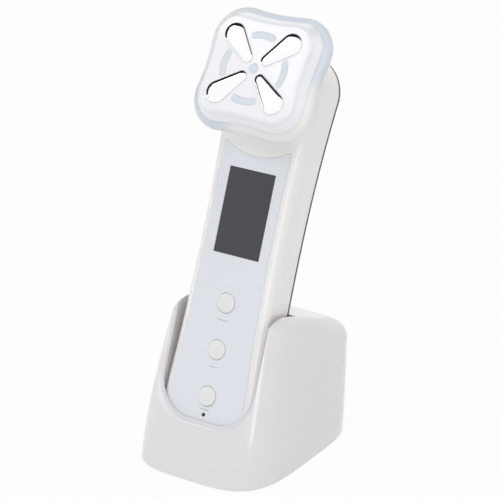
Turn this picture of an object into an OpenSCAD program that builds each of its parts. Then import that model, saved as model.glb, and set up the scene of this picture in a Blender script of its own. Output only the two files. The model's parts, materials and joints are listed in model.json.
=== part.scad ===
// Facial toning handset with four polished head electrodes, standing in its charging cradle.
// World frame: origin on the table under the middle of the cradle, +Z up, front towards -Y.
// Handset frame: x across, y into the handset from its front face, z up the handle from the foot.
// Head frame: x across, y into the head from its treatment face, z up the face from its middle.

/* [Stance] */
// Lean of the docked handset, back from upright
lean = 21.5; // [18:0.5:24]
// Height above the table of the foot of the handset's front face
dock_z = 16.6; // [16:0.2:18]
// How far the foot of the front face stands in front of the cradle's middle
dock_y = 32; // [31:0.2:33]
// Further lean of the treatment head, measured from the handle
head_tilt = 12.5; // [9:0.5:16]

/* [Handset shell] */
// Length of the handle and its head end, along its axis
handle_len = 163; // [158:1:172]
// Width of the handle at its foot
foot_w = 43; // [41:0.5:44]
// Width of the handle at its waist
waist_w = 39.2; // [37:0.2:41]
// Width of the handle behind the head
neck_w = 44; // [42:0.5:47]
// Height of the waist above the foot
waist_s = 89; // [80:1:98]
// Height of the widest stretch of the foot
foot_s = 25; // [20:1:30]
// Height at which the neck reaches its full width
neck_s = 145; // [138:1:150]
// Corner radius of the foot, seen from the front
foot_r = 14; // [11:0.5:16]
// Corner radius of the head end, seen from the front
crown_r = 16; // [13:0.5:18]
// Depth of the front casing at the waist
casing_d = 17; // [16.4:0.2:19]
// Growth of the depth for each millimetre up the handle
depth_taper = 0.02; // [0.01:0.005:0.03]
// Rounding of the casing's front edge
edge_r = 4; // [3:0.25:4.5]
// Wall of the handset's casing
casing_wall = 1.8; // [1.4:0.1:2.2]
// Depth of the front wall, from its face to its inside
front_wall = 2.8; // [2.6:0.1:3.2]
// Height of the rim of the back plate
plate_rim = 1.5; // [1.2:0.1:2]
// Crown of the back plate above its rim
plate_crown = 1.8; // [1:0.1:2.6]
// Sheet thickness of the back plate
plate_t = 0.8; // [0.6:0.1:1]
// Thickness of the rear cover under the back plate
cover_t = 1.6; // [1.2:0.1:2]

/* [Front panel] */
// Casing left bare around the panel
panel_inset = 4; // [3.5:0.1:4.4]
// Thickness of the panel
panel_t = 1.2; // [1:0.1:1.4]
// Height of the middle of the panel's hollow top edge
panel_top = 118; // [115:0.2:119]
// Radius of the panel's hollow top edge
panel_arc_r = 27.5; // [25:0.5:40]
// Rounding of the panel's two upper corners
panel_corner_r = 1.2; // [1:0.1:2]
// Width of the display window
window_w = 22; // [19:0.2:24]
// Height of the display window
window_h = 35.9; // [30:0.1:37]
// Height of the window's lower edge above the foot
window_s = 76.4; // [75:0.2:78]
// Gap round whatever is let into the casing or the panel
fit_gap = 0.1; // [0.05:0.01:0.15]

/* [Buttons] */
// Diameter of a button
button_d = 8.3; // [7:0.1:9]
// Distance from one button to the next
button_pitch = 19.7; // [18:0.1:21]
// Height of the middle button above the foot
button_s = 37; // [36:0.5:38]
// How far a button stands out of the panel
button_rise = 0.7; // [0.5:0.1:1]
// Travel of a button
button_travel = 0.5; // [0.3:0.1:0.6]
// Radial gap round a button
button_gap = 0.15; // [0.1:0.01:0.25]
// Diameter of a switch plunger
plunger_d = 2.4; // [2:0.1:2.8]
// Diameter of the charge indicator
indicator_d = 1.6; // [1.2:0.1:2.2]
// Height of the charge indicator above the foot
indicator_s = 9.5; // [9:0.1:10.5]

/* [Handset inside] */
// Distance of the main board's front behind the front face
board_y = 7; // [7:0.1:7.4]
// Thickness of the circuit boards
board_t = 1.2; // [1:0.1:1.6]
// Width of the main board
board_w = 30; // [28:0.5:31]
// Thickness of the display module
lcd_t = 3.3; // [2.8:0.1:3.5]
// Width of the battery
battery_w = 29; // [24:0.5:30]
// Length of the battery
battery_l = 46; // [38:0.5:48]
// Thickness of the battery
battery_t = 4.4; // [3.6:0.1:4.8]
// Diameter of the casing screws' shanks
screw_d = 2; // [1.6:0.1:2.4]

/* [Head] */
// Distance of the face's middle in front of the handle's front face
head_reach = 15.8; // [14:0.2:18]
// Height of the face's middle above the foot
head_s = 153.3; // [151:0.5:157]
// Corner centres of the head, across
corner_x = 13.4; // [12.6:0.1:14.5]
// Corner centres of the head, up and down
corner_y = 12; // [11.6:0.1:13]
// How far the sides of the head bow in
side_bow = 0.8; // [0.4:0.1:1.2]
// Corner radius of the cap where it meets the ring
cap_r = 11.5; // [11:0.1:12.5]
// Depth of the cap
cap_d = 5.6; // [5:0.1:6.5]
// How much the cap narrows towards its face
cap_draft = 2.1; // [1.2:0.1:2.6]
// Rounding of the face's edge
face_r = 1.8; // [1:0.1:2.2]
// Wall of the cap
cap_wall = 2; // [1.8:0.1:2.4]
// Corner radius of the glow ring
ring_r = 14.5; // [13.5:0.1:15.5]
// Thickness of the glow ring
ring_t = 5.3; // [4.5:0.1:6]
// Thickness of the neck's front flange
flange_t = 1.5; // [1.2:0.1:2]

/* [Electrodes and lights] */
// Distance of an electrode's outer end from the middle, across
pad_x = 13.4; // [12.8:0.1:14]
// Distance of an electrode's outer end from the middle, up and down
pad_y = 12.5; // [12:0.1:13]
// Radius of an electrode's outer end
pad_r = 4.7; // [4:0.1:4.9]
// Radius of an electrode's inner end
pad_tip_r = 2.35; // [1.8:0.05:2.5]
// Distance of the inner end's centre from the middle of the face
pad_tip_at = 5.95; // [5.8:0.05:6.6]
// How far an electrode is let into the cap
pad_seat = 1.2; // [0.9:0.1:1.3]
// How far an electrode stands out of the face
pad_rise = 1.1; // [0.7:0.1:1.4]
// Middle radius of the light arcs
arc_r = 14.1; // [13.8:0.1:14.4]
// Width of the light arcs
arc_w = 2.8; // [2.2:0.1:3]
// Half of the angle that an arc's straight part spans
arc_half = 18.6; // [15:0.2:19]
// Diameter of the light in the middle
dot_d = 4.1; // [3.4:0.1:4.3]

/* [Cradle] */
// Greatest width of the cradle
cradle_w = 66.8; // [65:0.2:72]
// Depth of the cradle, front to back
cradle_d = 83; // [82.5:0.5:88]
// Height of the cradle's top, along the handset from its foot
cradle_top = 56.5; // [53:0.5:60]
// Wall of the cradle
cradle_wall = 2.2; // [1.8:0.1:2.6]
// Draft of the cradle's sides in degrees
side_draft = 3.2; // [2:0.1:3.6]
// Thickness of the rim in front of the handset
rim_t = 3.6; // [3.2:0.1:4.2]
// Height of the rim's lowest point, along the handset
rim_s = 6.8; // [5.5:0.1:8]
// Corner radius of the rim's notch
notch_r = 16; // [13:0.5:17]
// Rounding of the rim
rim_r = 2.8; // [2:0.1:3.2]
// Rounding of the front shoulders
shoulder_r = 10; // [8:0.5:12]
// Rounding of the back and side edges of the top
top_r = 8; // [6:0.5:8]
// Gap between the handset and the pocket's walls
pocket_gap = 0.3; // [0.25:0.05:0.4]
// Gap between the handset's foot and the pocket's floor
seat_gap = 0.3; // [0.25:0.05:0.4]
// Wall of the pocket
pocket_wall = 1.8; // [1.4:0.1:2.2]

/* [Cradle inside] */
// Gap between the cradle's lower edge and the table
skirt_z = 0.8; // [0.6:0.1:1]
// Thickness of the base plate
base_t = 2; // [1.6:0.1:2.4]
// Thickness of the anti-slip pad
pad_t = 1.6; // [1.4:0.1:1.8]
// Height of the charging board above the base plate
stand_h = 3; // [2.6:0.1:3.6]
// Distance of each charging contact from the middle
contact_x = 5; // [4:0.1:6]
// Diameter of a charging contact on the handset
contact_d = 3.4; // [3:0.1:4]
// Diameter of a spring pin
pin_d = 1.6; // [1.4:0.1:1.8]
// Travel of a spring pin below its docked place
pin_travel = 0.8; // [0.5:0.1:0.9]
// Length of a spring pin
pin_l = 6.15; // [5.8:0.05:6.4]
// Width of the power inlet
inlet_w = 9; // [8.8:0.05:9.2]
// Height of the power inlet
inlet_h = 3.2; // [3.1:0.05:3.3]

/* [Hidden] */
$fn = 48;

// --- shared shape functions -----------------------------------------------------------------

function spow(v, e) = sign(v) * pow(abs(v), e);
function mix(a, b, t) = a + (b - a) * t;
function turned(p, a) = [p[0] * cos(a) + p[1] * sin(a), -p[0] * sin(a) + p[1] * cos(a)];

// A squared oval across the line from p0 to p1, which are [y, z] points: a is its half width,
// n0 and n1 say how square it is towards p0 and p1, and narrow is the width it loses towards p0.
function oval(p0, p1, a, n0, n1, m = 60, narrow = 0) = [for (i = [0:m - 1])
    let(t = 360 * i / m, n = sin(t) < 0 ? n0 : n1, k = spow(sin(t), 2 / n), c = mix(p0, p1, (1 + k) / 2))
    [a * spow(cos(t), 2 / n) * (1 - narrow * pow(min(k, 0), 2)), c[0], c[1]]];

// A solid through rings of equal length, which run anticlockwise seen from the last one.
module loft(rings) {
    m = len(rings[0]);
    last = (len(rings) - 1) * m;
    polyhedron(points = [for (r = rings) each r], faces = concat(
        [[for (i = [0:m - 1]) i]],
        [[for (i = [m - 1:-1:0]) last + i]],
        [for (j = [0:m:last - m], i = [0:m - 1]) [j + i, j + m + i, j + m + (i + 1) % m]],
        [for (j = [0:m:last - m], i = [0:m - 1]) [j + i, j + m + (i + 1) % m, j + (i + 1) % m]]));
}

// A round wire through the points, each ring square to the run between its neighbours.
function unit(v) = v / norm(v);
function run_at(p, i) = unit(p[min(i + 1, len(p) - 1)] - p[max(i - 1, 0)]);
function wire_ring(c, u, r, m) = let(
    side = unit(cross(u, abs(u[0]) > 0.9 ? [0, 0, 1] : [1, 0, 0])), up = cross(side, u))
    [for (i = [0:m - 1]) c + r * (side * cos(360 * i / m) - up * sin(360 * i / m))];
module wire(p, d, m = 8) loft([for (i = [0:len(p) - 1]) wire_ring(p[i], run_at(p, i), d / 2, m)]);

// A smooth path of n steps from a to b, leaving along ta and arriving along tb.
function bend(a, ta, b, tb, n = 8) = [for (i = [0:n]) let(t = i / n)
    a * (1 - t) * (1 - t) * (1 + 2 * t) + ta * t * (1 - t) * (1 - t)
    + b * t * t * (3 - 2 * t) - tb * t * t * (1 - t)];

// The same path with a short straight start and end, so that both ends are cut square.
stub = 0.6;
function lead(a, ta, b, tb, n = 8) =
    concat([a], bend(a + stub * unit(ta), ta, b - stub * unit(tb), tb, n), [b]);

module rod(r, from, to) translate([0, 0, from]) cylinder(r = r, h = to - from);
// A round bar along y, between two depths.
module peg(r, from, to, x = 0, z = 0) translate([x, 0, z]) rotate([-90, 0, 0]) rod(r, from, to);
module slab(w, h, from, to, z = 0, x = 0) translate([x - w / 2, from, z]) cube([w, to - from, h]);
module in_handset() translate([0, -dock_y, dock_z]) rotate([-lean, 0, 0]) children();
module in_head() translate([0, -head_reach, head_s]) rotate([-head_tilt, 0, 0]) children();
module both_sides() for (s = [0, 1]) mirror([s, 0, 0]) children();

// Points of the handset frame in the world's [y, z], and of the head frame in the handset's.
function dock_point(y, z) = [-dock_y, dock_z] + turned([y, z], lean);
function head_point(y, z) = [-head_reach, head_s] + turned([y, z], head_tilt);

// --- handset outline --------------------------------------------------------------------------

function half_w(s) = waist_w / 2 + (s < waist_s
    ? (foot_w - waist_w) / 2 * pow((waist_s - s) / (waist_s - foot_s), 2)
    : (neck_w - waist_w) / 2 * pow((s - waist_s) / (neck_s - waist_s), 2));
foot_cx = half_w(foot_r) - foot_r;
crown_cz = handle_len - crown_r;
crown_cx = half_w(crown_cz) - crown_r;
function half_outline(o) = concat(
    [for (a = [-90:10:0]) [foot_cx + (foot_r - o) * cos(a), foot_r + (foot_r - o) * sin(a)]],
    [for (i = [1:11]) let(s = mix(foot_r, crown_cz, i / 12)) [half_w(s) - o, s]],
    [for (a = [0:10:90]) [crown_cx + (crown_r - o) * cos(a), crown_cz + (crown_r - o) * sin(a)]]);
// The handset's outline seen from the front, o inside its widest line.
function outline(o) = let(h = half_outline(o))
    concat(h, [for (i = [len(h) - 1:-1:0]) [-h[i][0], h[i][1]]]);
// The same outline at the depth y, which grows up the handle by the taper.
function level(o, y, taper = 0) = [for (p = outline(o)) [p[0], y + taper * (p[1] - waist_s), p[1]]];
function casing_back(s) = casing_d + depth_taper * (s - waist_s);
// Rings from the back line to the front face, o inside the casing's skin.
function casing_rings(o, y_front, y_back) = concat([level(o, y_back, depth_taper)],
    [for (a = [0:15:90]) level(o + (edge_r - o) * (1 - cos(a)), mix(edge_r, y_front, sin(a)))]);
// Insets of the back plate's rings, and how much of the crown each one has.
crown_steps = [[0.8 * foot_r, 1], [0.55 * foot_r, 0.85], [0.35 * foot_r, 0.6], [0.2 * foot_r, 0.3]];
// Rings of the back plate's skin and of what lies under it, o inside it.
function crown_rings(o, y_start) = concat(
    [for (c = crown_steps)
        level(max(c[0], o + 1), casing_d + plate_rim + c[1] * plate_crown - o, depth_taper)],
    [level(o + 0.9, casing_d + plate_rim - o, depth_taper),
    level(o + 0.25, casing_d + plate_rim - 0.35 - o, depth_taper),
    level(o, casing_d + plate_rim - 1 - o * 0.4, depth_taper),
    level(o, y_start, depth_taper)]);

// --- head outline -----------------------------------------------------------------------------

bow_x = (corner_x * corner_x - side_bow * side_bow) / (2 * side_bow);
bow_y = (corner_y * corner_y - side_bow * side_bow) / (2 * side_bow);
turn_x = atan(corner_x / bow_x);
turn_y = atan(corner_y / bow_y);
function corner_run(r) = concat(
    let(q = norm([corner_y, bow_y]) - r, c = corner_x + bow_y)
        [[c - q, 0], [c - q * cos(turn_y / 2), q * sin(turn_y / 2)]],
    [for (i = [0:9]) let(a = mix(-turn_y, 90 + turn_x, i / 9))
        [corner_x + r * cos(a), corner_y + r * sin(a)]],
    let(q = norm([corner_x, bow_x]) - r) [[q * sin(turn_x / 2), corner_y + bow_x - q * cos(turn_x / 2)]]);
// The head's outline with the corner radius r: a rounded square whose sides bow in.
function head_outline(r) = let(
    q1 = corner_run(r), top = corner_y + bow_x - (norm([corner_x, bow_x]) - r),
    q2 = concat([[0, top]], [for (i = [len(q1) - 1:-1:1]) [-q1[i][0], q1[i][1]]]))
    concat(q1, q2, -q1, -q2);
function head_level(r, y) = [for (p = head_outline(r)) [p[0], y, p[1]]];

// --- electrode outline ------------------------------------------------------------------------

pad_dir = atan2(pad_y, pad_x);
pad_len = norm([pad_x, pad_y]) - pad_tip_at;
pad_flare = asin((pad_r - pad_tip_r) / pad_len);
// A drop with its small end towards the middle of the face, o inside its edge.
function drop(o) = [for (p = concat(
    [for (i = [0:18]) let(a = mix(-90 - pad_flare, 90 + pad_flare, i / 18))
        [pad_tip_at + pad_len + (pad_r - o) * cos(a), (pad_r - o) * sin(a)]],
    [for (i = [0:10]) let(a = mix(90 + pad_flare, 270 - pad_flare, i / 10))
        [pad_tip_at + (pad_tip_r - o) * cos(a), (pad_tip_r - o) * sin(a)]])) turned(p, -pad_dir)];
function drop_level(o, y) = [for (p = drop(o)) [p[0], y, p[1]]];
stud_at = turned([pad_tip_at + 0.45 * pad_len, 0], -pad_dir);
module each_pad() for (sx = [0, 1], sz = [0, 1]) mirror([sx, 0, 0]) mirror([0, 0, sz]) children();

// --- cradle surfaces --------------------------------------------------------------------------

front_bulge = 0.8;
back_rise = 1.3;
toe_n = 3.6;
brow_n = 8;
heel_n = 5;
crest_n = 8;
brow_narrow = 0.18;
function back_reach(s) = (cradle_d / 2 + dock_y - s * sin(lean)) / cos(lean);
shoulder_s = cradle_top - shoulder_r;
heel_s = cradle_top - top_r;
brow = dock_point(-rim_t, shoulder_s);
heel = dock_point(back_reach(heel_s), heel_s);
toe_half = cradle_w / 2;
top_half = toe_half - tan(side_draft) * (brow[1] + heel[1]) / 2;
// A ring of the cradle's skin, w inside it and sunk by sink, t of the way from the skirt to the shoulders.
function cradle_ring(t, w, sink = 0) = oval(
    mix([-cradle_d / 2, skirt_z], brow, t) + [w / cos(lean) - front_bulge * 4 * t * (1 - t), -sink],
    mix([cradle_d / 2 - back_rise, skirt_z], heel, t) + [-w, -sink],
    mix(toe_half, top_half, t) - w, mix(toe_n, brow_n, t), mix(heel_n, crest_n, t), 60, brow_narrow * t);
// A ring of the rounded top, w inside its skin, at the angle a round its edge.
function top_ring(a, w) = oval(
    dock_point(shoulder_r - rim_t - (shoulder_r - w) * cos(a), shoulder_s + (shoulder_r - w) * sin(a)),
    dock_point(back_reach(heel_s) - top_r + (top_r - w) * cos(a), heel_s + (top_r - w) * sin(a)),
    top_half - top_r + (top_r - w) * cos(a), brow_n, crest_n, 60, brow_narrow);
function cradle_rings(w, sink = 0) = concat([cradle_ring(0, w, sink)],
    [for (i = [1:6]) cradle_ring(i / 6, w)], [for (a = [15:15:90]) top_ring(a, w)]);
// --- pocket, rim and dock contacts --------------------------------------------------------------

pocket_half = half_w(foot_r) + pocket_gap;
notch_gap = 0.6;
notch_half = foot_w / 2 + notch_gap;
pocket_back = casing_back(cradle_top) + plate_rim + plate_crown + pocket_gap;
pocket_r = edge_r + pocket_gap;
module round_rect(x, y0, y1, r) {
    translate([-x + r, y0]) square([2 * (x - r), y1 - y0]);
    translate([-x, y0 + r]) square([2 * x, y1 - y0 - 2 * r]);
    for (sx = [-1, 1], y = [y0 + r, y1 - r]) translate([sx * (x - r), y]) circle(r);
}
module pocket(w) in_handset() translate([0, 0, -seat_gap - w]) linear_extrude(cradle_top + 20)
    round_rect(pocket_half + w, -pocket_gap - w, pocket_back + w, pocket_r + w);
// How far along its depth the cradle's plan reaches at the distance x from the middle: 1 at its
// front, 0 at its widest. The plan has the half width a, the squareness n and the narrowing p.
function plan_k(x, a, n, p, k = 1, i = 6) = i == 0 ? k
    : plan_k(x, a, n, p, pow(1 - pow(min(0.98, x / (a * (1 - p * k * k))), n), 1 / n), i - 1);
// How far the cradle's front falls back from its middle, at the distance x and the height s.
function fall_back(x, s) = let(t = min(1, (dock_point(-rim_t, s)[1] - skirt_z) / (brow[1] - skirt_z)))
    (back_reach(s) + rim_t) / 2
    * (1 - plan_k(abs(x), mix(toe_half, top_half, t), mix(toe_n, brow_n, t), brow_narrow * t));
notch_edge = let(c = notch_half - notch_r, z = rim_s + notch_r, half = concat(
    [for (a = [-90:10:0]) [c, z, cos(a), sin(a)]], [[c, shoulder_s, 1, 0], [c, cradle_top + 20, 1, 0]]))
    concat(half, [for (i = [len(half) - 1:-1:0]) let(q = half[i]) [-q[0], q[1], -q[2], q[3]]]);
// A ring of the rim's notch, o outside its edge, at the depth y of the middle.
function notch_level(o, y, bent = 1) = [for (q = notch_edge) let(r = notch_r + o)
    [q[0] + r * q[2], y + bent * fall_back(q[0] + notch_r * q[2], q[1] + notch_r * q[3]), q[1] + r * q[3]]];
notch_lip = 1.5;
module notch() in_handset() loft(concat([notch_level(0, 6, 0), notch_level(0, 2)],
    [for (a = [0:15:75]) notch_level(rim_r * (1 - cos(a)), rim_r * (1 - sin(a)) - rim_t)],
    [notch_level(rim_r + notch_lip, -rim_t - notch_lip), notch_level(rim_r + notch_lip, -rim_t - 14, 0)]));

contact_y = board_y + board_t / 2;
contact_seat = 0.15;
pin_top = contact_seat - 0.1;
pin_gap = 0.05;
barrel_r = pin_d / 2 + 0.4;
barrel_top = -seat_gap - 0.6;
spring_l = 1.9;
pin_foot = pin_top - pin_l;
barrel_floor = pin_foot - pin_travel - spring_l - pin_gap;
barrel_foot = barrel_floor - 0.4;
block_half = contact_x + 4;
block_depth = 8.6;
block_flange = 1.4;
block_flange_out = 2.5;
block_ledge = -seat_gap - pocket_wall;
block_foot = barrel_foot + 0.6;

// --- base of the cradle -----------------------------------------------------------------------

base_z = skirt_z + 0.2;
base_top = base_z + base_t;
base_gap = 0.3;
base_pad_d = 58;
base_screw_r = 1;
base_screw_head_r = 2.4;
base_screw_sink = 1;
base_boss_r = 3.2;
base_screw_in = 3.2;
base_screw_x = toe_half - base_boss_r - base_screw_in;
base_pad_gap = 2.6;
base_pad_w = 2 * (base_screw_x - base_screw_head_r - base_pad_gap);
base_screw_ys = [-12, 24];
base_screw_l = 7;
base_boss_l = 12;
base_web = 1.6;
base_web_reach = base_screw_in + base_boss_r;
stand_z = base_top + stand_h;
board_top = stand_z + board_t;
stand_half = 14;
stand_front = 14;
stand_back = cradle_d / 2 - back_rise - cradle_wall - 0.8;
stand_r = 2.6;
stand_screw_r = 0.8;
stand_screw_x = 10.5;
stand_screw_ys = [stand_front + 4, stand_back - 4.6];
inlet_l = 7.4;
inlet_gap = 0.3;
inlet_wall = 0.35;
inlet_y = cradle_d / 2 - back_rise;
inlet_mid_z = board_top + inlet_h / 2;
module each_base_screw() for (y = base_screw_ys) both_sides() translate([base_screw_x, y, 0]) children();
module each_stand_screw() for (y = stand_screw_ys) both_sides() translate([stand_screw_x, y, 0]) children();
// A slot-shaped bar along y, as wide as w and as high as h.
module slot_bar(w, h, from, to, z) {
    slab(w - h, h, from, to, z - h / 2);
    both_sides() peg(h / 2, from, to, (w - h) / 2, z);
}
// A round-headed screw standing on its head, with a crossed recess in the head.
module screw(shank_r, shank_l, head_r, head_h) difference() {
    union() {
        rod(shank_r, 0, shank_l);
        rod(head_r, -head_h, 0);
    }
    for (a = [0, 90]) rotate([0, 0, a]) translate([-head_r * 0.6, -0.25, -head_h - 1])
        cube([head_r * 1.2, 0.5, 1 + head_h / 2]);
}

module cradle_shell() color("whitesmoke") difference() {
    loft(cradle_rings(0));
    difference() {
        loft(cradle_rings(cradle_wall, 1));
        pocket(pocket_wall);
        each_base_screw() {
            rod(base_boss_r, base_top, base_top + base_boss_l);
            slab(2 * base_web_reach, base_boss_l, -base_web / 2, base_web / 2, base_top);
        }
    }
    pocket(0);
    notch();
    in_handset() slab(2 * (block_half + fit_gap), 6, contact_y - block_depth / 2 - fit_gap,
        contact_y + block_depth / 2 + fit_gap, block_ledge - 3);
    slot_bar(inlet_w + 2 * inlet_gap, inlet_h + 2 * inlet_gap, inlet_y - 4, inlet_y + 3, inlet_mid_z);
    each_base_screw() rod(base_screw_r + 0.05, base_top - 3, base_top + base_screw_l + 1.5);
}

module base_plate() color("gainsboro") difference() {
    union() {
        difference() {
            loft(cradle_rings(cradle_wall + base_gap, 1));
            slab(2 * cradle_w, 2 * skirt_z, -cradle_d, cradle_d, base_z - 2 * skirt_z);
            slab(2 * cradle_w, 2 * cradle_d, -cradle_d, cradle_d, base_top);
        }
        each_stand_screw() rod(stand_r, base_top - 1, stand_z);
    }
    translate([0, 0, base_z - 1]) linear_extrude(1 + pad_t - base_z)
        round_rect(base_pad_w / 2 + fit_gap, -base_pad_d / 2 - fit_gap, base_pad_d / 2 + fit_gap, 6);
    each_base_screw() rod(base_screw_r + 0.4, base_z - 1, base_top + 1);
    each_base_screw() rod(base_screw_head_r + 0.3, base_z - 1, base_z + base_screw_sink);
    each_stand_screw() rod(stand_screw_r + 0.05, base_top - 0.4, stand_z + 1);
}

module anti_slip_pad() color("dimgray") linear_extrude(pad_t)
    round_rect(base_pad_w / 2, -base_pad_d / 2, base_pad_d / 2, 6);

module base_screws() color("silver") each_base_screw() translate([0, 0, base_z + base_screw_sink])
    screw(base_screw_r, base_top + base_screw_l - base_z - base_screw_sink, base_screw_head_r, 0.95);

module charging_board() color("darkgreen") difference() {
    translate([-stand_half, stand_front, stand_z]) cube([2 * stand_half, stand_back - stand_front, board_t]);
    each_stand_screw() rod(stand_screw_r + 0.3, stand_z - 1, board_top + 1);
}

// Parts of the charging board: width, depth and height, or radius and height.
charge_plug = [8, 6, 3];
charge_chip = [5, 5, 1];
charge_coil = [6, 6, 3];
charge_store = [1.8, 2.4];
charge_plug_over = 1;
charge_parts_y = stand_front + 8;
module on_charging_board(part, y, x = 0)
    slab(part[0], part[2], y, y + part[1], board_top, x);
module charging_board_parts() {
    color("ivory") on_charging_board(charge_plug, stand_front - charge_plug_over);
    color("black") on_charging_board(charge_chip, charge_parts_y, -charge_chip[0]);
    color("dimgray") on_charging_board(charge_coil, charge_parts_y, 4);
    color("sienna") both_sides() translate([10, charge_parts_y + 3.5, board_top])
        cylinder(r = charge_store[0], h = charge_store[1]);
}

module board_screws() color("silver") each_stand_screw() translate([0, 0, board_top]) mirror([0, 0, 1])
    screw(stand_screw_r, board_t + stand_h - 0.6, 1.7, 1.1);

module power_inlet() color("silver") difference() {
    slot_bar(inlet_w, inlet_h, inlet_y - inlet_l, inlet_y, inlet_mid_z);
    difference() {
        slot_bar(inlet_w - 2 * inlet_wall, inlet_h - 2 * inlet_wall, inlet_y - inlet_l + 1.4, inlet_y + 1,
            inlet_mid_z);
        slab(inlet_w - 2.4, 0.7, inlet_y - inlet_l, inlet_y - 1, inlet_mid_z - 0.35);
    }
}

module contact_block() color("black") in_handset() difference() {
    union() {
        slab(2 * block_half, barrel_top - block_foot, contact_y - block_depth / 2,
            contact_y + block_depth / 2, block_foot);
        slab(2 * (block_half + block_flange_out), block_flange, contact_y - block_depth / 2 - 1.7,
            contact_y + block_depth / 2 + 1.7, block_ledge - block_flange);
    }
    both_sides() translate([contact_x, contact_y, 0]) rod(barrel_r, block_foot - 1, 1);
}

module pin_barrels() color("goldenrod") in_handset() both_sides() translate([contact_x, contact_y, 0])
    difference() {
        rod(barrel_r, barrel_foot, barrel_top);
        rod(pin_d / 2 + pin_gap, barrel_floor, 1);
    }

spring_r = pin_d / 2 - 0.2;
spring_wire = 0.24;
spring_turns = 4;
module pin_springs() color("silver") in_handset() both_sides() translate([contact_x, contact_y, 0])
    wire([for (i = [0:12 * spring_turns]) [spring_r * cos(30 * i), spring_r * sin(30 * i),
        mix(barrel_floor + pin_gap + spring_wire / 2, barrel_floor + spring_l - spring_wire / 2,
            i / (12 * spring_turns))]], spring_wire, 6);

// The leads run out beside the block before they turn to the back.
module contact_leads() color("firebrick") both_sides() {
    foot = dock_point(contact_y, barrel_foot);
    down = dock_point(contact_y, barrel_foot - 2) - foot;
    side = [block_half + 1.5, foot[0] + 0.5, base_top + 1.1];
    plug = [2, stand_front - 1, board_top + 1.4];
    back = lead(side, [3, 3, 0], plug, [0, 24, 0], 12);
    wire(concat(lead([contact_x, foot[0], foot[1]], [0, down[0], down[1]], side, [3, 3, 0], 6),
        [for (i = [1:len(back) - 1]) back[i]]), 1, 6);
}

module spring_pin(side) color("gold") in_handset() translate([side * contact_x, contact_y, 0]) {
    rod(pin_d / 2, pin_foot, pin_top - pin_d / 4);
    translate([0, 0, pin_top - pin_d / 4]) cylinder(r1 = pin_d / 2, r2 = pin_d / 4, h = pin_d / 4, $fn = 24);
}

// --- neck of the handset ------------------------------------------------------------------------

neck_r = cap_r - 2;
neck_q = cap_d + ring_t;
neck_s0 = panel_top + 1;
neck_sink = 0.8;
// Rings of the neck, from inside the casing out to the back of the glow ring, w inside its skin.
function neck_rings(w, q) = let(
    low = head_point(q, -corner_y - neck_r + w), high = head_point(q, corner_y + neck_r - w))
    [for (i = [0:6]) let(t = i / 6) oval(
        [mix(w + neck_sink, low[0], 1 - cos(90 * t)), mix(neck_s0 + 1.5 * w, low[1], sin(90 * t))],
        mix([casing_d - 3, handle_len - 2 - w], high, t),
        mix(half_w(crown_cz) - 0.9, corner_x + neck_r, t) - w, mix(3, 5, t), 5, 48)];

// --- places inside the handset --------------------------------------------------------------------

board_back = board_y + board_t;
board_s = [5, 126];
low_screw_in = 4;
high_screw_in = 2.5;
low_screw = [board_w / 2 - low_screw_in, 10];
high_screw = [board_w / 2 - high_screw_in, 121];
button_heights = [for (i = [1, 0, -1]) button_s + i * button_pitch];
flange_y = front_wall + 0.05;
stem_y = flange_y + 0.7;
plunger_y = stem_y + 0.45;
switch_y = plunger_y + 0.6;
flange_r = button_d / 2 + 0.9;
window_lip = 0.6;
case_post_r = 2.4;
cover_post_r = 2.9;
cover_post_rise = 0.35 * plate_crown;
indicator_gap = 0.05;
harness_hole_r = 6;
head_screw_r = 0.8;
module each_case_screw() both_sides() for (p = [low_screw, high_screw]) translate([p[0], 0, p[1]]) children();
function screw_seat(p) = casing_back(p[1]) - 0.2;
// A flat shape of the front view, carried from one depth to another.
module sheet(from, to) translate([0, to, 0]) rotate([90, 0, 0]) linear_extrude(to - from) children();
// The right half of the panel's edge, grown by gap, from its foot to the middle of its hollow top.
function panel_half(gap) = let(
    r = panel_corner_r + gap, x = half_w(panel_top + 2) - panel_inset - panel_corner_r,
    top = panel_top + panel_arc_r, reach = panel_arc_r + panel_corner_r,
    turn = asin(x / reach), s = top - reach * cos(turn))
    concat([for (a = [-87:8:-2]) let(q = foot_r - panel_inset + gap)
            [foot_cx + q * cos(a), foot_r + q * sin(a)]],
        [for (i = [1:10]) let(z = mix(foot_r, s, i / 10.5)) [half_w(z) - panel_inset + gap, z]],
        [for (i = [0:6]) let(a = (90 + turn) * i / 6) [x + r * cos(a), s + r * sin(a)]],
        [for (i = [11:-1:0]) let(a = turn * i / 12, q = panel_arc_r - gap) [q * sin(a), top - q * cos(a)]]);
module panel_shape(gap) polygon(let(h = panel_half(gap))
    concat(h, [for (i = [len(h) - 2:-1:0]) [-h[i][0], h[i][1]]]));
module window_shape(grow) translate([-window_w / 2 - grow, window_s - grow])
    square([window_w + 2 * grow, window_h + 2 * grow]);

// The casing's form, o inside its skin, cut flat at the depth y_front.
module casing_form(o, y_front, y_back) difference() {
    loft(casing_rings(o, y_front - 0.05, y_back));
    slab(2 * neck_w, handle_len + 20, y_front - 5, y_front, -10);
}

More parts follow.
